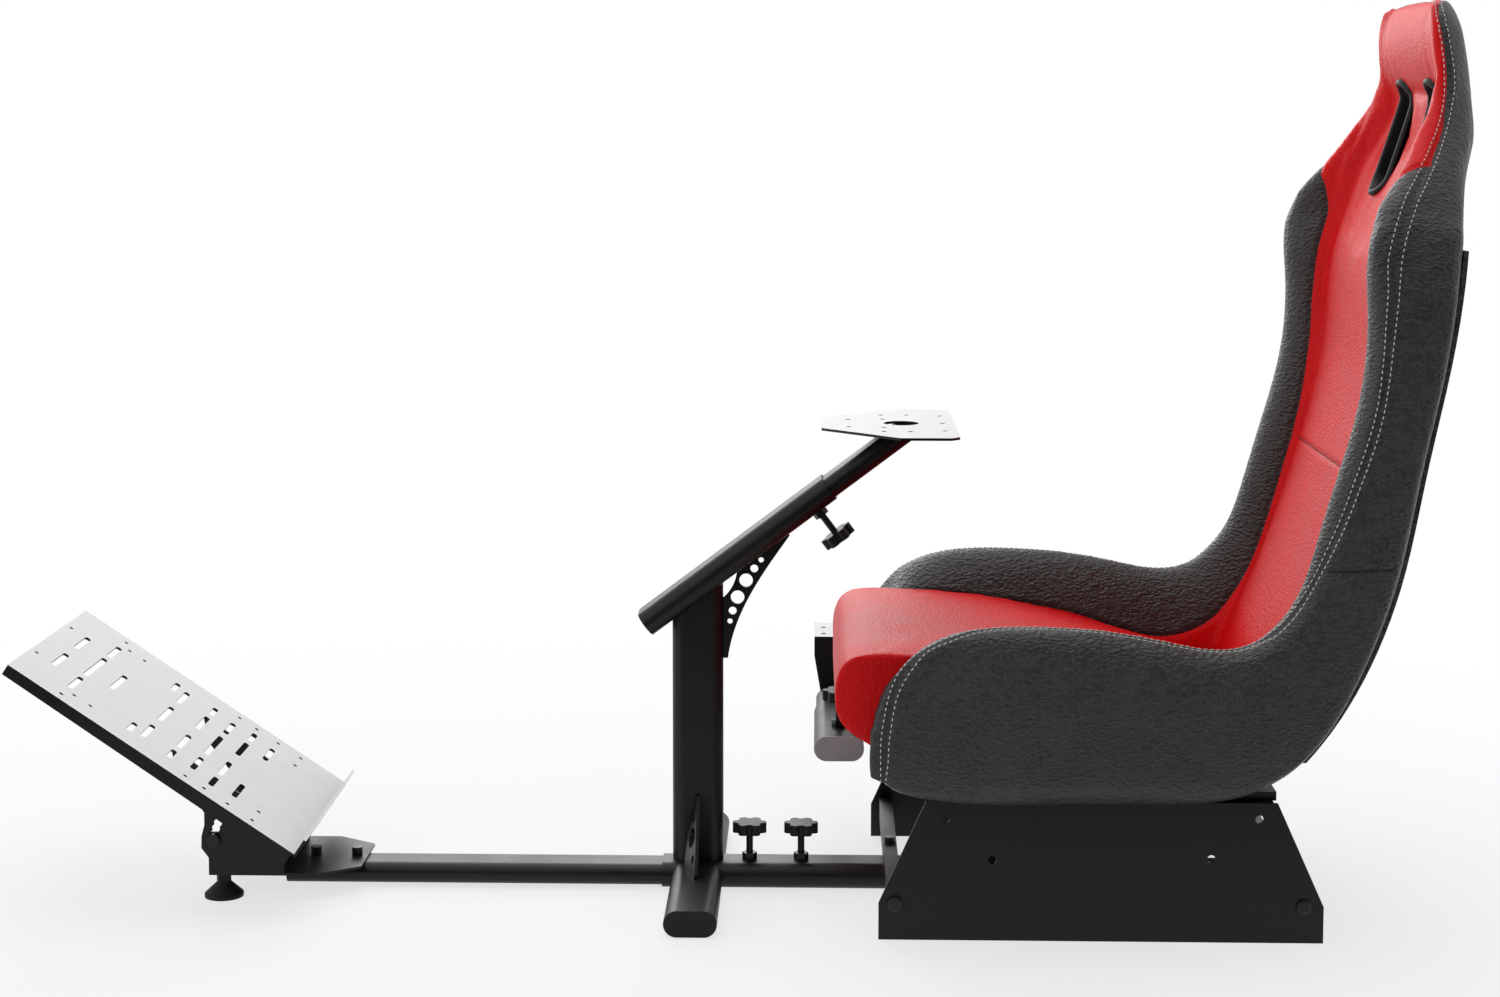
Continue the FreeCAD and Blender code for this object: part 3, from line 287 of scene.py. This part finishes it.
def pebbled_leather(name, low, high, rough, specular, cell, flatten, depth):
    """Coated leather: coarse and fine cells for the grain, with a cloud that tints and dulls it."""
    material, nodes, links, shader = new_material(name)
    drift = cloud(nodes, links, 22.0, 4.0)
    tint_and_dull(nodes, links, shader, drift, low, high, rough)
    shader.inputs["Specular IOR Level"].default_value = specular
    total = nodes.new("ShaderNodeMath")
    total.operation = "ADD"
    links.new(grain(nodes, links, cell, flatten, 1.0), total.inputs[0])
    links.new(grain(nodes, links, 3.0 * cell, 1.0, 0.3), total.inputs[1])
    raise_bump(nodes, links, shader, total.outputs[0], 0.8, depth)
    return material


def grey(value):
    return (value, value, value)


black_coat = coated_metal("black_powder_coat", grey(0.003), grey(0.006), (0.36, 0.46), 0.30)
# The pale deck colour is painted reflection of the white studio on the flat faces of black plates.
deck_painted_reflection = coated_metal("pale_deck_painted_reflection", (0.78, 0.78, 0.79), grey(0.86), (0.5, 0.65), 0.2)
black_plastic = coated_metal("black_moulding", grey(0.006), grey(0.012), (0.38, 0.5), 0.22, 700.0)
foot_rubber = coated_metal("foot_rubber", grey(0.010), grey(0.02), (0.6, 0.8), 0.25, 500.0)
fastener = coated_metal("black_oxide", grey(0.008), grey(0.014), (0.25, 0.4), 0.3, 2200.0)
cap_grey = coated_metal("grey_cap", (0.30, 0.30, 0.31), (0.36, 0.36, 0.37), (0.45, 0.6), 0.3, 700.0)
red_leather = pebbled_leather("red_leather", (0.66, 0.002, 0.004), (0.74, 0.004, 0.006), (0.42, 0.48), 0.18,
                              300.0, 1.0, 0.0008)
black_leather = pebbled_leather("black_leather", grey(0.029), grey(0.039), (0.38, 0.46), 0.36,
                                165.0, 2.0, 0.0022)
print("finishes", len(bpy.data.materials))

# %% [markdown]
# ## Steel pieces
# The solids of the frame have the right shape already, so they stay and only get a finish. On the real rig
# the flat decks catch the white studio and read pale, while their turned edges stay dark. Faces are sorted by
# the way they point: those square to the deck get a pale colour as painted reflection and the rest the black
# coat.


# %% Paint the frame
def paint(node, *materials):
    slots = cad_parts[node].data.materials
    slots.clear()
    for material in materials:
        slots.append(material)


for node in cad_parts:
    if "knob" in node or "foot_cap" in node:
        paint(node, black_plastic)
    elif "levelling" in node:
        paint(node, foot_rubber)
    elif node in ("bracket_bolts", "bar_screws", "base_screws", "tilt_pins", "clamp_nuts"):
        paint(node, fastener)
    else:
        paint(node, black_coat)
paint("shifter_cap", cap_grey)


def paint_deck_reflection(node, normal, least=0.9):
    """Gives the faces of a plate that point along its outward normal a pale colour: painted reflection of the
    white studio.
    """
    paint(node, black_coat, deck_painted_reflection)
    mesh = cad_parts[node].data
    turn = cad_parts[node].matrix_world.to_3x3()
    count = 0
    for face in mesh.polygons:
        if (turn @ face.normal).dot(normal) > least:
            face.material_index = 1
            count += 1
    print(node, "pale faces", count)


DECK_SLOPE = math.radians(33.9)
# Pale painted reflection on the decks' flat faces; their edges keep the black coat.
paint_deck_reflection("pedal_plate", Vector((math.sin(DECK_SLOPE), 0, math.cos(DECK_SLOPE))))
paint_deck_reflection("wheel_plate", Vector((0, 0, 1)))
paint_deck_reflection("shifter_plate", Vector((0, 0, 1)))

# %% [markdown]
# ## Seat cover: one skin
# The back, the head and the two side wings of a bucket seat are foam under one sewn cover. The plain solids
# are joined, remeshed evenly and rounded, so that the wings run up into the head without a step. It could be
# modelled by hand as a subdivision cage, but the remesh keeps close to the solids and needs no guessing.


# %% Join and round the solids
def evaluated_mesh(piece):
    """The piece's mesh with its modifiers, in place of its old mesh."""
    graph = bpy.context.evaluated_depsgraph_get()
    mesh = bpy.data.meshes.new_from_object(piece.evaluated_get(graph))
    piece.modifiers.clear()
    piece.data = mesh
    return mesh


def rounded_solid(name, nodes, voxel, draw_in, rounds):
    """Solids of the frame joined into one even mesh, a little smaller and with soft edges."""
    builder = bmesh.new()
    for node in nodes:
        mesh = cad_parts[node].data.copy()
        mesh.transform(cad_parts[node].matrix_world)
        builder.from_mesh(mesh)
    mesh = bpy.data.meshes.new(name)
    builder.to_mesh(mesh)
    builder.free()
    piece = bpy.data.objects.new(name, mesh)
    scene.collection.objects.link(piece)
    remesh = piece.modifiers.new("even", "REMESH")
    remesh.mode = "VOXEL"
    remesh.voxel_size = voxel
    if draw_in:
        shrink = piece.modifiers.new("draw_in", "DISPLACE")
        shrink.strength = -draw_in
        shrink.mid_level = 0.0
    smooth = piece.modifiers.new("round", "SMOOTH")
    smooth.factor = 0.5
    smooth.iterations = rounds
    evaluated_mesh(piece)
    print(name, len(piece.data.vertices), "points")
    return piece


shell = rounded_solid("seat_cover", ("left_bolster", "right_bolster", "backrest_pad"), 0.0055, 0.0005, 6)

# %% [markdown]
# ## Where the leathers meet
# Red leather covers the middle of the back and the front of the head, black the wings, the sides and the
# rear. The border follows the inner valley of each wing, turns out across the shoulder and then climbs round
# the side of the head. It is written as one signed distance, positive on the red side, so that the same
# function can hold the seams still and cut the skin. The two rows of stitches are written as points that a
# smooth curve joins.

# %% Border of the red leather
BORDER_HALF = [(0.440, 0.2012), (0.512, 0.202), (0.548, 0.203), (0.579, 0.204), (0.611, 0.205),
               (0.674, 0.205), (0.706, 0.2035), (0.738, 0.2025), (0.785, 0.2015), (0.820, 0.2005),
               (0.830, 0.202), (0.840, 0.206), (0.847, 0.212), (0.853, 0.225), (0.857, 0.245),
               (0.860, 0.300)]
RED_REAR = [(0.840, 0.793), (0.863, 0.798), (0.874, 0.804), (0.885, 0.811), (0.898, 0.818), (0.914, 0.8215),
            (0.930, 0.825), (0.947, 0.827), (0.969, 0.827), (0.991, 0.824), (1.013, 0.820), (1.033, 0.8225),
            (1.045, 0.826)]
MIDDLE = [(0.206, 0.655), (0.302, 0.695), (0.422, 0.740), (0.530, 0.766), (0.645, 0.789), (0.745, 0.799),
          (0.812, 0.814), (0.836, 0.8225), (0.848, 0.828), (0.860, 0.834), (0.872, 0.839), (0.884, 0.843),
          (0.905, 0.848), (0.960, 0.852), (1.003, 0.8465), (1.025, 0.8415), (1.045, 0.836)]
HEAD_HALF = [(0.845, 0.226), (0.880, 0.195), (0.905, 0.174), (0.935, 0.158), (0.960, 0.151), (1.003, 0.145),
             (1.040, 0.108)]


def along(table, value):
    """Straight-line reading of a table of pairs."""
    if value <= table[0][0]:
        return table[0][1]
    for (a, low), (b, high) in zip(table, table[1:]):
        if value <= b:
            return low + (high - low) * (value - a) / (b - a)
    return table[-1][1]


# Across the shoulder the border climbs towards the rear, from this X on and outside this half width.
SHOULDER_CLIMB = 0.36
SHOULDER_X = 0.759
SHOULDER_HALF = 0.199
HEAD_FOOT = 0.840


def red_depth(spot):
    """Signed distance into the red leather, in metres."""
    aside = abs(spot.y)
    climbed = spot.z - SHOULDER_CLIMB * max(0.0, spot.x - SHOULDER_X)
    across = along(BORDER_HALF, climbed if aside > SHOULDER_HALF else spot.z) - aside
    outer = min(max((aside / along(HEAD_HALF, spot.z) - 0.75) / 0.15, 0.0), 1.0)
    rear = along(MIDDLE, spot.z) * (1 - outer) + along(RED_REAR, spot.z) * outer
    if spot.z < HEAD_FOOT:
        rear = along(MIDDLE, spot.z)
    return min(across, rear - spot.x)


INNER_ROW = [(209, 188, 262), (209, 215, 267), (210, 248, 267), (220, 297, 266), (241, 329, 261),
             (281, 350, 255), (335, 360, 245), (421, 359, 244), (504, 348, 245), (558, 338, 243),
             (586, 338, 243), (613, 347, 244), (635, 362, 247), (665, 407, 252), (687, 457, 258),
             (706, 511, 263), (732, 603, 266), (740, 711, 266), (741, 764, 264), (758, 816, 247),
             (777, 846, 224), (797, 876, 197), (817, 914, 166), (824, 950, 152), (820, 1000, 143),
             (818, 1016, 136), (818, 1030, 118), (822, 1037, 95), (828, 1040, 0)]
OUTER_ROW = [(215, 190, 262), (217, 215, 267), (219, 245, 267), (229, 295, 267), (258, 337, 265),
             (283, 348, 263), (337, 359, 253), (420, 357, 251), (503, 346, 252), (558, 336, 250),
             (586, 336, 250), (613, 344, 251), (637, 358, 256), (670, 406, 258), (694, 456, 263),
             (714, 512, 266), (738, 592, 267), (750, 697, 267), (756, 767, 264), (773, 815, 245),
             (787, 838, 228), (809, 874, 194), (828, 916, 160), (834, 950, 141), (829, 1003, 138),
             (826, 1019, 131), (826, 1031, 114), (830, 1037, 92), (837, 1040, 0)]


def smooth_path(points, step):
    """Evenly spaced points along a curve through the given ones."""
    dense = []
    last = len(points) - 1
    for i in range(last):
        p0, p1 = points[max(i - 1, 0)], points[i]
        p2, p3 = points[i + 1], points[min(i + 2, last)]
        for k in range(24):
            t = k / 24
            dense.append(0.5 * (2 * p1 + (p2 - p0) * t + (2 * p0 - 5 * p1 + 4 * p2 - p3) * t * t
                                + (3 * p1 - p0 - 3 * p2 + p3) * t ** 3))
    dense.append(points[last])
    even = [dense[0]]
    left = step
    for a, b in zip(dense, dense[1:]):
        length = (b - a).length
        while length >= left:
            a = a + (b - a) * (left / length)
            even.append(a)
            length = (b - a).length
            left = step
        left -= length
    return even


def side_row(row, sign, step):
    """A row given in millimetres as X, Z and distance from the midline, on one side of the seat."""
    return smooth_path([Vector((x, sign * y, z)) / 1000 for x, z, y in row], step)


def nearness(path):
    tree = KDTree(len(path))
    for i, point in enumerate(path):
        tree.insert(point, i)
    tree.balance()
    return tree


def lay_on(piece, points):
    """Nearest point and outward normal on a piece for each point of a path."""
    tree = BVHTree.FromObject(piece, bpy.context.evaluated_depsgraph_get())
    return [tree.find_nearest(point)[:2] for point in points]


def mid_row(sign, step):
    """The seam between the two stitch rows."""
    inner = side_row(INNER_ROW, sign, step)
    outer = nearness(side_row(OUTER_ROW, sign, step))
    return [(point + outer.find(point)[0]) / 2 for point in inner]


print("border at the head", round(red_depth(Vector((0.83, 0.0, 0.9))), 3))

# %% [markdown]
# ## Head of the seat
# Above the harness slots the head is a soft pillow, and between them it dips back like a shallow bowl, so the
# strip between the slots lies deep. The plain solid has only a raised rim there. The front is moved to a
# written height field and the points behind it follow in proportion, which keeps the head closed and even.
# The rear corners are eased in the same way, and the moved zones are smoothed until they flow.

# %% Shape the head
PILLOW_FOOT = 0.936
PILLOW = [(0.936, 0.832), (0.950, 0.824), (0.965, 0.8165), (0.980, 0.8135), (1.000, 0.812), (1.020, 0.814),
          (1.030, 0.819), (1.037, 0.826), (1.042, 0.834)]
BOWL_HALF = 0.100
BOWL_EDGE = [(0.740, 0.774), (0.776, 0.780), (0.788, 0.783), (0.812, 0.791), (0.836, 0.801), (0.860, 0.813),
             (0.884, 0.823), (0.896, 0.827), (0.908, 0.830), (0.920, 0.832), (0.936, 0.832)]
BOWL_DEPTH = [(0.764, 0.0), (0.776, 0.001), (0.800, 0.005), (0.836, 0.014), (0.860, 0.016), (0.872, 0.016),
              (0.884, 0.013), (0.908, 0.005), (0.920, 0.002), (0.936, 0.0)]
REAR_CORNER = [(0.740, 0.8235), (0.776, 0.8240), (0.790, 0.826), (0.822, 0.831), (0.859, 0.842),
               (0.893, 0.849), (0.949, 0.851), (1.010, 0.849)]


def ease(value, start, end):
    """Smooth step from 0 at start to 1 at end."""
    part = min(max((value - start) / (end - start), 0.0), 1.0)
    return part * part * (3 - 2 * part)


def head_front(aside, height):
    """X of the head's front: a pillow at the top, a bowl below it."""
    if height > PILLOW_FOOT:
        return along(PILLOW, height)
    bowl = 1 - min(aside / BOWL_HALF, 1.0) ** 1.4
    return along(BOWL_EDGE, height) + along(BOWL_DEPTH, height) * bowl


def front_share(aside, height):
    """How far a point of the front follows the height field: not at all on the rim."""
    upper = ease(height, 0.930, 0.955)
    half = along(HEAD_HALF, height)
    full = 0.100 * (1 - upper) + (half - 0.018) * upper
    none = 0.125 * (1 - upper) + (half - 0.006) * upper
    return ease(height, 0.742, 0.766) * (1 - ease(aside, full, none))


def facing(piece, sign):
    """The head's points that face the front or the rear, flattened onto the front view, with their X."""
    spots = [v.co for v in piece.data.vertices if v.normal.x * sign > 0.35 and v.co.z > 0.72]
    return nearness([Vector((0.0, spot.y, spot.z)) for spot in spots]), [spot.x for spot in spots]


def shape_head(piece):
    """Moves the head's front and rear corners, and returns the longest move."""
    front_tree, front_x = facing(piece, -1)
    rear_tree, rear_x = facing(piece, 1)
    longest = 0.0
    for vertex in piece.data.vertices:
        spot = vertex.co
        aside = abs(spot.y)
        if spot.z < 0.740:
            continue
        flat = Vector((0.0, spot.y, spot.z))
        share = front_share(aside, spot.z)
        old = spot.x
        if share > 0.0:
            front = front_x[front_tree.find(flat)[1]]
            rear = rear_x[rear_tree.find(flat)[1]]
            depth = min(max((rear - spot.x) / max(rear - front, 0.004), 0.0), 1.0)
            spot.x += share * depth * (head_front(aside, spot.z) - front)
        proud = spot.x - along(REAR_CORNER, spot.z)
        if proud > 0.0:
            spot.x -= 0.8 * proud * ease(aside, 0.13, 0.18) * ease(spot.z, 0.742, 0.770)
        longest = max(longest, abs(spot.x - old))
    piece.data.update()
    return longest


def soften(piece, weight, rounds):
    """Smooths the points of a piece by a weight from 0 to 1."""
    group = piece.vertex_groups.new(name="soften")
    for i, vertex in enumerate(piece.data.vertices):
        amount = weight(vertex.co)
        if amount > 0.01:
            group.add([i], amount, "REPLACE")
    smooth = piece.modifiers.new("soften", "SMOOTH")
    smooth.vertex_group = "soften"
    smooth.factor = 0.5
    smooth.iterations = rounds
    evaluated_mesh(piece)
    piece.vertex_groups.clear()


def head_zones(spot):
    """The wing sides below the head, and the band where the front meets the rim."""
    aside = abs(spot.y)
    side = ease(aside, 0.150, 0.190) * ease(spot.z, 0.700, 0.750) * (1 - ease(spot.z, 0.850, 0.900))
    side *= ease(spot.x, 0.765, 0.795)
    low = ease(spot.z, 0.735, 0.760) * ease(aside, 0.085, 0.100) * (1 - ease(aside, 0.150, 0.175))
    band = low * (1 - ease(spot.x, 0.825, 0.845)) * 0.8
    return max(side, band)


print("head moved up to", round(shape_head(shell) * 1000, 1), "mm")
soften(shell, head_zones, 50)

# %% [markdown]
# ## Foam under the cover
# Cloth with a slight pressure gives the fullness of foam behind a stretched cover. Points on a seam are held,
# as thread holds the leather down on the real seat, so the panels crown between the seams. How far a point
# may travel is capped, so the cover keeps to its place.


# %% Blow up the cover
CLOTH_FRAMES = 20


def blow_up(piece, held, pressure, cap):
    """Runs a short cloth simulation from the piece's own shape and keeps the capped result."""
    start = [v.co.copy() for v in piece.data.vertices]
    group = piece.vertex_groups.new(name="seams")
    group.add([i for i, co in enumerate(start) if held(co)], 1.0, "REPLACE")
    cloth = piece.modifiers.new("foam", "CLOTH")
    cloth.settings.vertex_group_mass = "seams"
    cloth.settings.use_pressure = True
    cloth.settings.uniform_pressure_force = pressure
    cloth.settings.effector_weights.gravity = 0.0
    cloth.settings.quality = 4
    cloth.settings.tension_stiffness = 25
    cloth.collision_settings.use_collision = False
    cloth.point_cache.frame_start = 1
    cloth.point_cache.frame_end = CLOTH_FRAMES
    for step in range(1, CLOTH_FRAMES + 1):
        scene.frame_set(step)
    evaluated_mesh(piece)
    scene.frame_set(1)
    moved = 0.0
    for vertex, origin in zip(piece.data.vertices, start):
        move = vertex.co - origin
        moved = max(moved, move.length)
        if move.length > cap:
            vertex.co = origin + move * (cap / move.length)
    piece.vertex_groups.clear()
    print(piece.name, "moved up to", round(moved * 1000, 1), "mm")


def finer(piece):
    """One applied subdivision, so that seams can be narrower than the remesh."""
    more = piece.modifiers.new("finer", "SUBSURF")
    more.levels = 1
    more.render_levels = 1
    evaluated_mesh(piece)


seam_tree = nearness(mid_row(1, 0.004) + mid_row(-1, 0.004))
REAR_LINE = [(0.213, 0.663), (0.302, 0.722), (0.422, 0.765), (0.530, 0.786), (0.638, 0.808), (0.767, 0.824),
             (0.800, 0.828)]


def on_shell_seam(spot):
    """Points that the thread or the rear panel holds still."""
    behind = spot.z < 0.81 and spot.x > along(REAR_LINE, spot.z) - 0.010
    return behind or abs(red_depth(spot)) < 0.005 or seam_tree.find(spot)[2] < 0.006


blow_up(shell, on_shell_seam, 4.0, 0.005)
finer(shell)


# %% Cut the skin along the border
def cut_border(piece, depth):
    """Splits the faces along the zero line of a signed distance, and returns the cut's points."""
    builder = bmesh.new()
    builder.from_mesh(piece.data)
    value = {v: depth(v.co) for v in builder.verts}
    crossing = [e for e in builder.edges if value[e.verts[0]] * value[e.verts[1]] < 0]
    fresh = set()
    for edge in crossing:
        a, b = edge.verts
        part = value[a] / (value[a] - value[b])
        _, vertex = bmesh.utils.edge_split(edge, a, min(max(part, 0.02), 0.98))
        value[vertex] = 0.0
        fresh.add(vertex)
    for face in list(builder.faces):
        ends = [v for v in face.verts if v in fresh]
        if len(ends) == 2:
            bmesh.utils.face_split(face, ends[0], ends[1])
    for face in builder.faces:
        face.smooth = True
        middle = sum(value[v] for v in face.verts)
        face.material_index = 1 if middle > 0 else 0
    spots = [v.co.copy() for v in fresh]
    builder.to_mesh(piece.data)
    builder.free()
    return spots


def press_seam(piece, path, depth, width):
    """Pushes the cover in along a path."""
    tree = nearness(path)
    normals = [v.normal.copy() for v in piece.data.vertices]
    for vertex, normal in zip(piece.data.vertices, normals):
        gap = tree.find(vertex.co)[2]
        if gap < 3 * width:
            vertex.co -= normal * depth * math.exp(-(gap / width) ** 2)
    piece.data.update()


shell.data.materials.clear()
shell.data.materials.append(black_leather)
shell.data.materials.append(red_leather)
border_spots = cut_border(shell, red_depth)
press_seam(shell, border_spots, 0.0022, 0.004)
for sign in (-1, 1):
    press_seam(shell, [spot for spot, _ in lay_on(shell, mid_row(sign, 0.002))], 0.0018, 0.0035)
print("border points", len(border_spots))

# %% Cross seams
BACK_SEAM_HEIGHT = 0.511
BACK_SEAM_HALF = 0.195
SIDE_SEAM_FRONT = 0.686
SIDE_SEAM_HEIGHT = 0.4265
shell_tree = BVHTree.FromObject(shell, bpy.context.evaluated_depsgraph_get())
back_seam = []
for i in range(131):
    aside = 0.003 * i - BACK_SEAM_HALF
    hit, _, _, _ = shell_tree.ray_cast(Vector((0.3, aside, BACK_SEAM_HEIGHT)), Vector((1, 0, 0)))
    back_seam.append(hit)
press_seam(shell, back_seam, 0.0016, 0.003)
side_seams = []
for sign in (-1, 1):
    for i in range(34):
        spot = Vector((SIDE_SEAM_FRONT + 0.002 * i, sign * 0.4, SIDE_SEAM_HEIGHT + 0.00006 * i))
        hit, _, _, _ = shell_tree.ray_cast(spot, Vector((0, -sign, 0)))
        if hit:
            side_seams.append(hit)
press_seam(shell, side_seams, 0.0018, 0.0035)
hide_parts("left_bolster", "right_bolster", "backrest_pad")
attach(shell, "frame")
print("cross seams", len(back_seam), len(side_seams))

# %% [markdown]
# ## Cushion and rear panel
# The cushion is a thick block of foam with a crisp sewn edge along its top. Its cover is blown up with less
# pressure, and its sides and underside are held. The rear panel is a thin moulded cover that closes the back:
# it is stiff, so the solid stays and only gets its finish.

# %% Cushion and rear panel
cushion = rounded_solid("seat_cushion_cover", ("seat_cushion",), 0.0055, 0.003, 5)


def on_cushion_edge(spot):
    return abs(spot.y) > 0.190 or spot.z < 0.180


blow_up(cushion, on_cushion_edge, 3.0, 0.008)
finer(cushion)
cushion.data.materials.clear()
cushion.data.materials.append(red_leather)
for face in cushion.data.polygons:
    face.use_smooth = True
    face.material_index = 0
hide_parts("seat_cushion")
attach(cushion, "frame")
paint("back_shell", black_leather)

# %% [markdown]
# ## Stitching
# A double row of pale stitches runs round both wings and over the head, one row on each side of the seam.
# Real thread stands proud of the leather and casts a small shadow, so each stitch is a small rounded form.
# It lies on the finished cover at its nearest point, turned along the row.


# %% Stitch maker
def stitch_row(name, path, material, length=0.0046, pitch=3, radius=0.00065):
    """A row of round-ended stitches lying on the seat cover."""
    laid = lay_on(shell, path)
    builder = bmesh.new()
    squeeze = Matrix.Diagonal((length / 2, radius, radius, 1.0))
    for i in range(1, len(laid) - 1, pitch):
        spot, normal = laid[i]
        ahead = (laid[i + 1][0] - laid[i - 1][0]).normalized()
        across = normal.cross(ahead).normalized()
        basis = Matrix((ahead, across, ahead.cross(across))).transposed().to_4x4()
        basis.translation = spot + normal * radius * 0.5
        made = bmesh.ops.create_uvsphere(builder, u_segments=6, v_segments=5, radius=1.0)
        bmesh.ops.transform(builder, matrix=basis @ squeeze, verts=made["verts"])
    mesh = bpy.data.meshes.new(name)
    builder.to_mesh(mesh)
    builder.free()
    for face in mesh.polygons:
        face.use_smooth = True
    mesh.materials.append(material)
    piece = bpy.data.objects.new(name, mesh)
    scene.collection.objects.link(piece)
    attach(piece, "frame")
    return piece


def thread_and_seam_shade(name, low, high):
    """Twisted thread, and the dark lines of painted shade in seam grooves: a fine cloud varies the tint."""
    material, nodes, links, shader = new_material(name)
    twist = cloud(nodes, links, 900.0)
    tint = ramp(nodes, links, twist.outputs["Fac"], low, high)
    links.new(tint.outputs["Color"], shader.inputs["Base Color"])
    shader.inputs["Roughness"].default_value = 0.8
    return material


thread = thread_and_seam_shade("pale_thread", (0.60, 0.60, 0.59), (0.82, 0.82, 0.80))
# A dark red line laid in the back seam's groove: painted shade of the groove.
seam_shadow = thread_and_seam_shade("dark_seam_painted_shade", (0.05, 0.004, 0.004), (0.09, 0.006, 0.006))
# A near-black line laid in each wing's side seam groove: painted shade of the groove.
black_seam_shade_finish = thread_and_seam_shade("black_seam_painted_shade", grey(0.004), grey(0.008))
for side, sign in (("left", -1), ("right", 1)):
    for row, points in (("inner", INNER_ROW), ("outer", OUTER_ROW)):
        stitch_row("%s_wing_%s_stitches" % (side, row), side_row(points, sign, 0.0022), thread)
    side_seam = [spot for spot in side_seams if spot.y * sign > 0]
    # Near-black line of painted shade along the wing's side seam.
    stitch_row(side + "_wing_seam_painted_shade", side_seam, black_seam_shade_finish, 0.0046, 1)
# The back seam's dark line is painted shade in its groove.
stitch_row("back_seam_painted_shade", back_seam, seam_shadow, 0.0056, 1)
print("stitch rows", 7)

# %% [markdown]
# ## Harness slots
# Two slanted slots in the head let a belt through. Each has a black plastic bezel with a rounded lip that
# grips the leather at the front and the rear. The bezel is a ring of cross-sections: the lip follows the
# curved leather, so each point of the ring is found by looking at the cover from the front and the rear.

# %% Slot bezels
SLOT_HALF_WIDTH = 0.022
SLOT_HALF_FLAT = 0.041
SLOT_ASIDE = 0.074
SLOT_HEIGHT = 0.883
SLOT_LEAN = math.radians(9.0)
RING = 56
LIP = [(0.0065, 0.0012), (0.0050, -0.0022), (0.0020, -0.0034), (-0.0012, -0.0016), (-0.0022, 0.0030)]


def slot_point(k, grow, sign):
    """Point of the slot's outline in the front view, grown by a distance."""
    turn = 2 * math.pi * k / RING
    radius = SLOT_HALF_WIDTH + grow
    y = radius * math.cos(turn)
    z = radius * math.sin(turn) + math.copysign(SLOT_HALF_FLAT, math.sin(turn))
    lean = sign * SLOT_LEAN
    return (y * math.cos(lean) - z * math.sin(lean) + sign * SLOT_ASIDE,
            y * math.sin(lean) + z * math.cos(lean) + SLOT_HEIGHT)


shell_tree = BVHTree.FromObject(shell, bpy.context.evaluated_depsgraph_get())


def leather_at(y, z, from_front):
    """X of the cover seen along X at a point of the front view."""
    start = 0.55 if from_front else 1.1
    hit, _, _, _ = shell_tree.ray_cast(Vector((start, y, z)), Vector((1 if from_front else -1, 0, 0)))
    return hit.x


for side, sign in (("left", -1), ("right", 1)):
    rings = []
    for from_front in (True, False):
        levels = []
        for k in range(RING):
            y, z = slot_point(k, 0.009, sign)
            levels.append(leather_at(y, z, from_front))
        part = []
        for grow, step in LIP:
            out = 1 if from_front else -1
            part.append([(levels[k] + out * step, *slot_point(k, grow, sign)) for k in range(RING)])
        rings += part if from_front else reversed(part)
    mesh = bpy.data.meshes.new(side + "_slot_bezel")
    points = [point for ring in rings for point in ring]
    faces = []
    for i in range(len(rings) - 1):
        for k in range(RING):
            n = (k + 1) % RING
            faces.append((i * RING + k, i * RING + n, (i + 1) * RING + n, (i + 1) * RING + k))
    mesh.from_pydata(points, [], faces)
    bezel = bpy.data.objects.new(side + "_slot_bezel", mesh)
    scene.collection.objects.link(bezel)
    solid = bmesh.new()
    solid.from_mesh(mesh)
    bmesh.ops.recalc_face_normals(solid, faces=solid.faces)
    solid.to_mesh(mesh)
    solid.free()
    for face in mesh.polygons:
        face.use_smooth = True
    mesh.materials.append(black_plastic)
    round_lip = bezel.modifiers.new("round_lip", "SUBSURF")
    round_lip.levels = 1
    round_lip.render_levels = 1
    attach(bezel, "frame")
print("bezels", 2)
